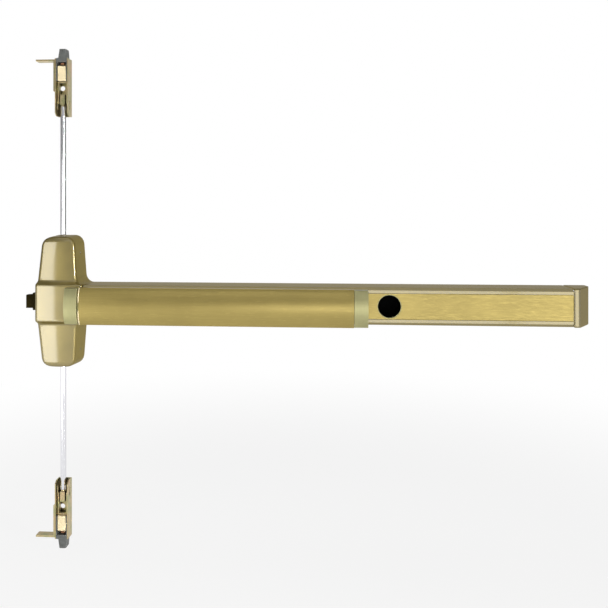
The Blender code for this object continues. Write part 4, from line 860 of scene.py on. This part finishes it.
def lathe(name, profile, origin, axis, steps=32):
    """A turned mesh: radius and height pairs, its height along an axis from origin."""
    along = Vector(axis)
    across = along.orthogonal().normalized()
    third = along.cross(across)
    bm = bmesh.new()
    rings = []
    for radius, height in profile:
        ring = []
        for n in range(steps if radius else 1):
            angle = 2 * math.pi * n / steps
            side = across * math.cos(angle) + third * math.sin(angle)
            ring.append(bm.verts.new(Vector(origin) + along * height + side * radius))
        rings.append(ring)
    for low, high in zip(rings, rings[1:]):
        for n in range(steps):
            after = (n + 1) % steps
            corners = [low[n % len(low)], low[after % len(low)]]
            corners += [high[after % len(high)], high[n % len(high)]]
            face = list(dict.fromkeys(corners))
            if len(face) > 2:
                bm.faces.new(face)
    bmesh.ops.recalc_face_normals(bm, faces=bm.faces)
    return made_mesh(bm, name)


def socket_screw(node, side):
    """A set screw along X with a chamfered end and a hexagon socket facing out."""
    low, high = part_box(node)
    middle = (low + high) / 2
    radius = (high.z - low.z) / 2
    hexagon = radius * SOCKET_SHARE
    outer = high.x if side > 0 else low.x
    length = high.x - low.x
    depth = bpy.context.scene.exit_device_sizes.socket_depth
    bm = bmesh.new()

    def ring(count, size, inward):
        centre = Vector((outer - side * inward, middle.y, middle.z))
        points = []
        for n in range(count):
            angle = 2 * math.pi * n / count
            across = Vector((0, math.cos(angle), math.sin(angle)))
            points.append(bm.verts.new(centre + across * size))
        return points

    rim = ring(SCREW_STEPS, radius - SCREW_CHAMFER, 0)
    shoulder = ring(SCREW_STEPS, radius, SCREW_CHAMFER)
    tail = ring(SCREW_STEPS, radius, length)
    mouth = ring(6, hexagon, 0)
    bottom = ring(6, hexagon, depth)
    bridge(bm, rim, shoulder)
    bridge(bm, shoulder, tail)
    share = SCREW_STEPS // 6
    for n in range(SCREW_STEPS):
        corner = mouth[((n + share // 2) // share) % 6]
        after = mouth[((n + 1 + share // 2) // share) % 6]
        face = [rim[n], rim[(n + 1) % SCREW_STEPS], after, corner]
        bm.faces.new(list(dict.fromkeys(face)))
    bridge(bm, mouth, bottom)
    bm.faces.new(bottom)
    bm.faces.new(tail)
    bmesh.ops.recalc_face_normals(bm, faces=bm.faces)
    mesh = made_mesh(bm, node + "_socket")
    add_piece(node + "_socket", mesh, "dull_steel", body_of(node), node)


def domed_rivet(node):
    """A rivet whose head is domed, standing out to the left."""
    low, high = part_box(node)
    middle = (low + high) / 2
    head = (high.z - low.z) / 2
    shank = head * RIVET_SHANK_SHARE
    length = high.x - low.x
    height = head * RIVET_HEIGHT_SHARE
    dome = height * bpy.context.scene.exit_device_sizes.rivet_dome
    profile = [(0, 0)]
    for n in range(1, RIVET_DOME_STEPS + 1):
        angle = math.radians(90) * n / RIVET_DOME_STEPS
        profile.append((head * math.sin(angle), dome * (1 - math.cos(angle))))
    profile += [(head, height), (shank, height), (shank, length), (0, length)]
    mesh = lathe(node + "_domed", profile, (low.x, middle.y, middle.z), (1, 0, 0))
    add_piece(node + "_domed", mesh, "yellow_zinc", body_of(node), node)


def fine_coil(node, turns, wire, finish, along_bar=False):
    """A round wire coil in place of a node's coarser one, upright or along the push bar."""
    low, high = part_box(node)
    middle = (low + high) / 2
    along = Vector((1, 0, 0)) if along_bar else Vector((0, 0, 1))
    across = Vector((0, 1, 0)) if along_bar else Vector((1, 0, 0))
    third = along.cross(across)
    length = along.dot(high - low)
    radius = across.dot(high - low) / 2 - wire
    count = turns * COIL_STEPS_A_TURN + 1
    bm = bmesh.new()
    rings = []
    for n in range(count):
        angle = 2 * math.pi * n / COIL_STEPS_A_TURN
        outward = across * math.cos(angle) + third * math.sin(angle)
        height = (length - 2 * wire) * (n / (count - 1) - 0.5)
        centre = middle + along * height + outward * radius
        ring = []
        for k in range(WIRE_STEPS):
            turn = 2 * math.pi * k / WIRE_STEPS
            offset = outward * math.cos(turn) + along * math.sin(turn)
            ring.append(bm.verts.new(centre + offset * wire))
        rings.append(ring)
    for first, second in zip(rings, rings[1:]):
        bridge(bm, first, second)
    bm.faces.new(rings[0])
    bm.faces.new(rings[-1])
    bmesh.ops.recalc_face_normals(bm, faces=bm.faces)
    mesh = made_mesh(bm, node + "_wire")
    return add_piece(node + "_wire", mesh, finish, body_of(node), node)


def return_spring():
    """The spring behind the link as a fine coil on a mesh of its own. The real spring shortens against
    its stop as the link slides; nothing here shortens it.
    """
    spring = fine_coil("return_spring", RETURN_SPRING_TURNS, RETURN_SPRING_WIRE, "steel", along_bar=True)
    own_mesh(spring)


def seal_strip():
    """A pale seal between the bar and its left cap, open at a small notch in front."""
    bar_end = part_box("push_bar")[0].x
    bar = clean_form("push_bar")
    end = next(f for f in bar.faces if f.normal.x < -0.9)
    section = [v.co + Vector((0, SEAL_INSET, 0)) for v in end.verts]
    bar.free()
    for label, side in (("upper", 1), ("lower", -1)):
        bm = bmesh.new()
        rings = []
        for x in (bar_end - SEAL_START, bar_end - SEAL_END):
            rings.append([bm.verts.new((x, point.y, point.z)) for point in section])
        bridge(bm, *rings)
        for ring in rings:
            bm.faces.new(ring)
        cut = bmesh.ops.bisect_plane(
            bm,
            geom=bm.verts[:] + bm.edges[:] + bm.faces[:],
            plane_co=(0, 0, side * SEAL_NOTCH / 2),
            plane_no=(0, 0, -side),
            clear_outer=True,
        )
        cut_edges = [e for e in cut["geom_cut"] if isinstance(e, bmesh.types.BMEdge)]
        bmesh.ops.edgenet_fill(bm, edges=cut_edges)
        bmesh.ops.recalc_face_normals(bm, faces=bm.faces)
        mesh = made_mesh(bm, "bar_seal", 0)
        add_piece("bar_seal_" + label, mesh, "pale_block", body_of("push_bar"))


def hole_ring():
    """The pale turned rim of the cylinder's hole."""
    low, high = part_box("cylinder_cup")
    middle = (low + high) / 2
    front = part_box("cover_plate")[0].y
    outer = (high.z - low.z) / 2 - CUP_WALL - RING_GAP
    inner = outer - RING_WIDTH
    back = RING_SETBACK + RING_DEPTH
    profile = [(inner, RING_SETBACK), (outer, RING_SETBACK), (outer, back), (inner, back)]
    profile.append(profile[0])
    mesh = lathe("hole_ring", profile, (middle.x, front, 0), (0, 1, 0), RING_STEPS)
    add_piece("hole_ring", mesh, "trim_bronze", body_of("cover_plate"))


class EXITDEVICE_OT_outer_case(bpy.types.Operator):
    """Dress the centre case, the mechanism case, the plate and the end cap"""

    bl_idname = "exitdevice.outer_case"
    bl_label = "Outer case"

    def execute(self, context):
        dress(OUTER_SKINS)
        for row in ("upper", "lower"):
            socket_screw(f"cover_screw_{row}_left", -1)
            socket_screw(f"cover_screw_{row}_right", 1)
        hole_ring()
        return {"FINISHED"}


class EXITDEVICE_OT_push_bar(bpy.types.Operator):
    """Dress the push bar and its two caps"""

    bl_idname = "exitdevice.push_bar"
    bl_label = "Push bar"

    def execute(self, context):
        dress(BAR_SKINS)
        seal_strip()
        return {"FINISHED"}


class EXITDEVICE_OT_rim_latch(bpy.types.Operator):
    """Dress the side latch"""

    bl_idname = "exitdevice.rim_latch"
    bl_label = "Rim latch"

    def execute(self, context):
        dress(LATCH_SKINS)
        return {"FINISHED"}


class EXITDEVICE_OT_rod_latches(bpy.types.Operator):
    """Dress both rods and their latches"""

    bl_idname = "exitdevice.rod_latches"
    bl_label = "Rods and latches"

    def execute(self, context):
        for end in ("top", "bottom"):
            dress({f"{end}_{part}": how for part, how in ROD_SKINS.items()})
            domed_rivet(f"{end}_angle_rivet")
            fine_coil(f"{end}_bolt_spring", LATCH_SPRING_TURNS, LATCH_SPRING_WIRE, "copper_spring")
        return {"FINISHED"}


class EXITDEVICE_OT_linkage(bpy.types.Operator):
    """Give the pieces inside their finishes"""

    bl_idname = "exitdevice.linkage"
    bl_label = "Inner linkage"

    def execute(self, context):
        for finish, nodes in INNER_FINISHES.items():
            for node in nodes:
                for slot in frame["nodes"][node].material_slots:
                    slot.material = finish_named(finish)
        return_spring()
        return {"FINISHED"}


def area_lamp(name, place, target, width, height, watts, spread):
    light = bpy.data.lights.new(name, "AREA")
    light.shape = "RECTANGLE"
    light.size = width
    light.size_y = height
    light.energy = watts
    light.spread = math.radians(spread)
    lamp = bpy.data.objects.new(name, light)
    bpy.context.scene.collection.objects.link(lamp)
    lamp.location = place
    lamp.rotation_euler = (Vector(target) - Vector(place)).to_track_quat("-Z", "Y").to_euler()


def world_light(strength):
    """Soft light from all round. The camera and mirrors see a white backdrop behind the device."""
    world = bpy.data.worlds.new("studio")
    bpy.context.scene.world = world
    world.use_nodes = True
    nodes = Nodes(world.node_tree)
    direction = nodes.node("ShaderNodeTexCoord", output="Generated", kind="vector")
    into_door = {0: direction, 1: (0, 1, 0)}
    depth = nodes.node("ShaderNodeVectorMath", {"operation": "DOT_PRODUCT"}, into_door, "Value")
    behind = nodes.node("ShaderNodeMapRange", None, {"Value": depth, "From Min": BACKDROP_EDGE})
    clear = nodes.larger(nodes.ray("Is Camera Ray"), nodes.ray("Is Transmission Ray"))
    seen = nodes.larger(clear, nodes.ray("Is Glossy Ray") * behind)
    facing = nodes.node("ShaderNodeMath", {"operation": "ABSOLUTE"}, {0: depth})
    level = facing * (WALL_SHARE * strength) + SIDE_SHARE * strength
    light = {"Color": WHITE, "Strength": level}
    room = nodes.node("ShaderNodeBackground", None, light, kind="shader")
    backdrop = nodes.node("ShaderNodeBackground", None, {"Color": WHITE}, kind="shader")
    nodes.node("ShaderNodeOutputWorld", None, {"Surface": nodes.mix_shaders(seen, room, backdrop)})


def floor_finish():
    """A pale floor that fades into the white background and keeps the object's shadow."""
    finish = Finish("studio_floor")
    reach = finish.node("ShaderNodeVectorMath", {"operation": "LENGTH"}, {0: finish.place()}, "Value")
    far = finish.band(reach, FLOOR_FADE_START, FLOOR_FADE_END)
    seen = finish.larger(finish.ray("Is Camera Ray"), finish.ray("Is Glossy Ray"))
    share = seen * (far * (1 - FLOOR_WHITE) + FLOOR_WHITE)
    floor = finish.surface(Base_Color=(0.8, 0.8, 0.8), Roughness=0.9)
    white = finish.node("ShaderNodeEmission", None, {"Color": WHITE}, kind="shader")
    return finish.cover(finish.mix_shaders(share, floor, white))


class EXITDEVICE_OT_stage(bpy.types.Operator):
    """Set the floor, the soft lamps and the camera"""

    bl_idname = "exitdevice.stage"
    bl_label = "Studio"

    def execute(self, context):
        studio = context.scene.exit_device_studio
        low, high = CAD_BOX
        middle = (low + high) / 2
        bm = bmesh.new()
        bmesh.ops.create_grid(bm, x_segments=8, y_segments=8, size=FLOOR_SIZE)
        mesh = bpy.data.meshes.new("studio_floor")
        bm.to_mesh(mesh)
        bm.free()
        floor = bpy.data.objects.new("studio_floor", mesh)
        context.scene.collection.objects.link(floor)
        floor.location = (middle.x, middle.y, low.z - studio.floor_gap)
        mesh.materials.append(floor_finish())
        world_light(studio.room_light)
        for lamp in LAMPS:
            area_lamp(*lamp)
        lens = bpy.data.cameras.new("camera")
        lens.sensor_width = 36
        lens.lens = studio.lens
        camera = bpy.data.objects.new("camera", lens)
        context.scene.collection.objects.link(camera)
        camera.location = (studio.camera_x, -studio.camera_distance, studio.camera_height)
        camera.rotation_euler = (math.radians(90), studio.camera_roll, studio.camera_turn)
        lens.shift_x = SHIFT_RIGHT / PICTURE_WIDTH
        lens.shift_y = SHIFT_UP / PICTURE_WIDTH
        context.scene.camera = camera
        context.scene.view_settings.view_transform = "Standard"
        return {"FINISHED"}


OPERATORS = (
    EXITDEVICE_OT_outer_case,
    EXITDEVICE_OT_push_bar,
    EXITDEVICE_OT_rim_latch,
    EXITDEVICE_OT_rod_latches,
    EXITDEVICE_OT_linkage,
    EXITDEVICE_OT_stage,
)


class EXITDEVICE_PT_panel(bpy.types.Panel):
    """Lists the operators, the colours and the sizes"""

    bl_label = "Exit device"
    bl_idname = "EXITDEVICE_PT_panel"
    bl_space_type = "VIEW_3D"
    bl_region_type = "UI"
    bl_category = "Exit device"

    def draw(self, context):
        scene = context.scene
        for operator in OPERATORS:
            self.layout.operator(operator.bl_idname)
        for group in (scene.exit_device_finishes, scene.exit_device_sizes, scene.exit_device_studio):
            box = self.layout.box()
            for name in group.__annotations__:
                box.prop(group, name)


GROUPS = {
    "exit_device_finishes": ExitDeviceFinishes,
    "exit_device_sizes": ExitDeviceSizes,
    "exit_device_studio": ExitDeviceStudio,
}


def register():
    for kind in (*GROUPS.values(), *OPERATORS, EXITDEVICE_PT_panel):
        bpy.utils.register_class(kind)
    for name, group in GROUPS.items():
        setattr(bpy.types.Scene, name, bpy.props.PointerProperty(type=group))


def unregister():
    for name in GROUPS:
        delattr(bpy.types.Scene, name)
    for kind in reversed((*GROUPS.values(), *OPERATORS, EXITDEVICE_PT_panel)):
        bpy.utils.unregister_class(kind)


def main():
    register()
    bpy.ops.exitdevice.outer_case()
    bpy.ops.exitdevice.push_bar()
    bpy.ops.exitdevice.rim_latch()
    bpy.ops.exitdevice.rod_latches()
    bpy.ops.exitdevice.linkage()
    bpy.ops.exitdevice.stage()


if __name__ == "__main__":
    main()
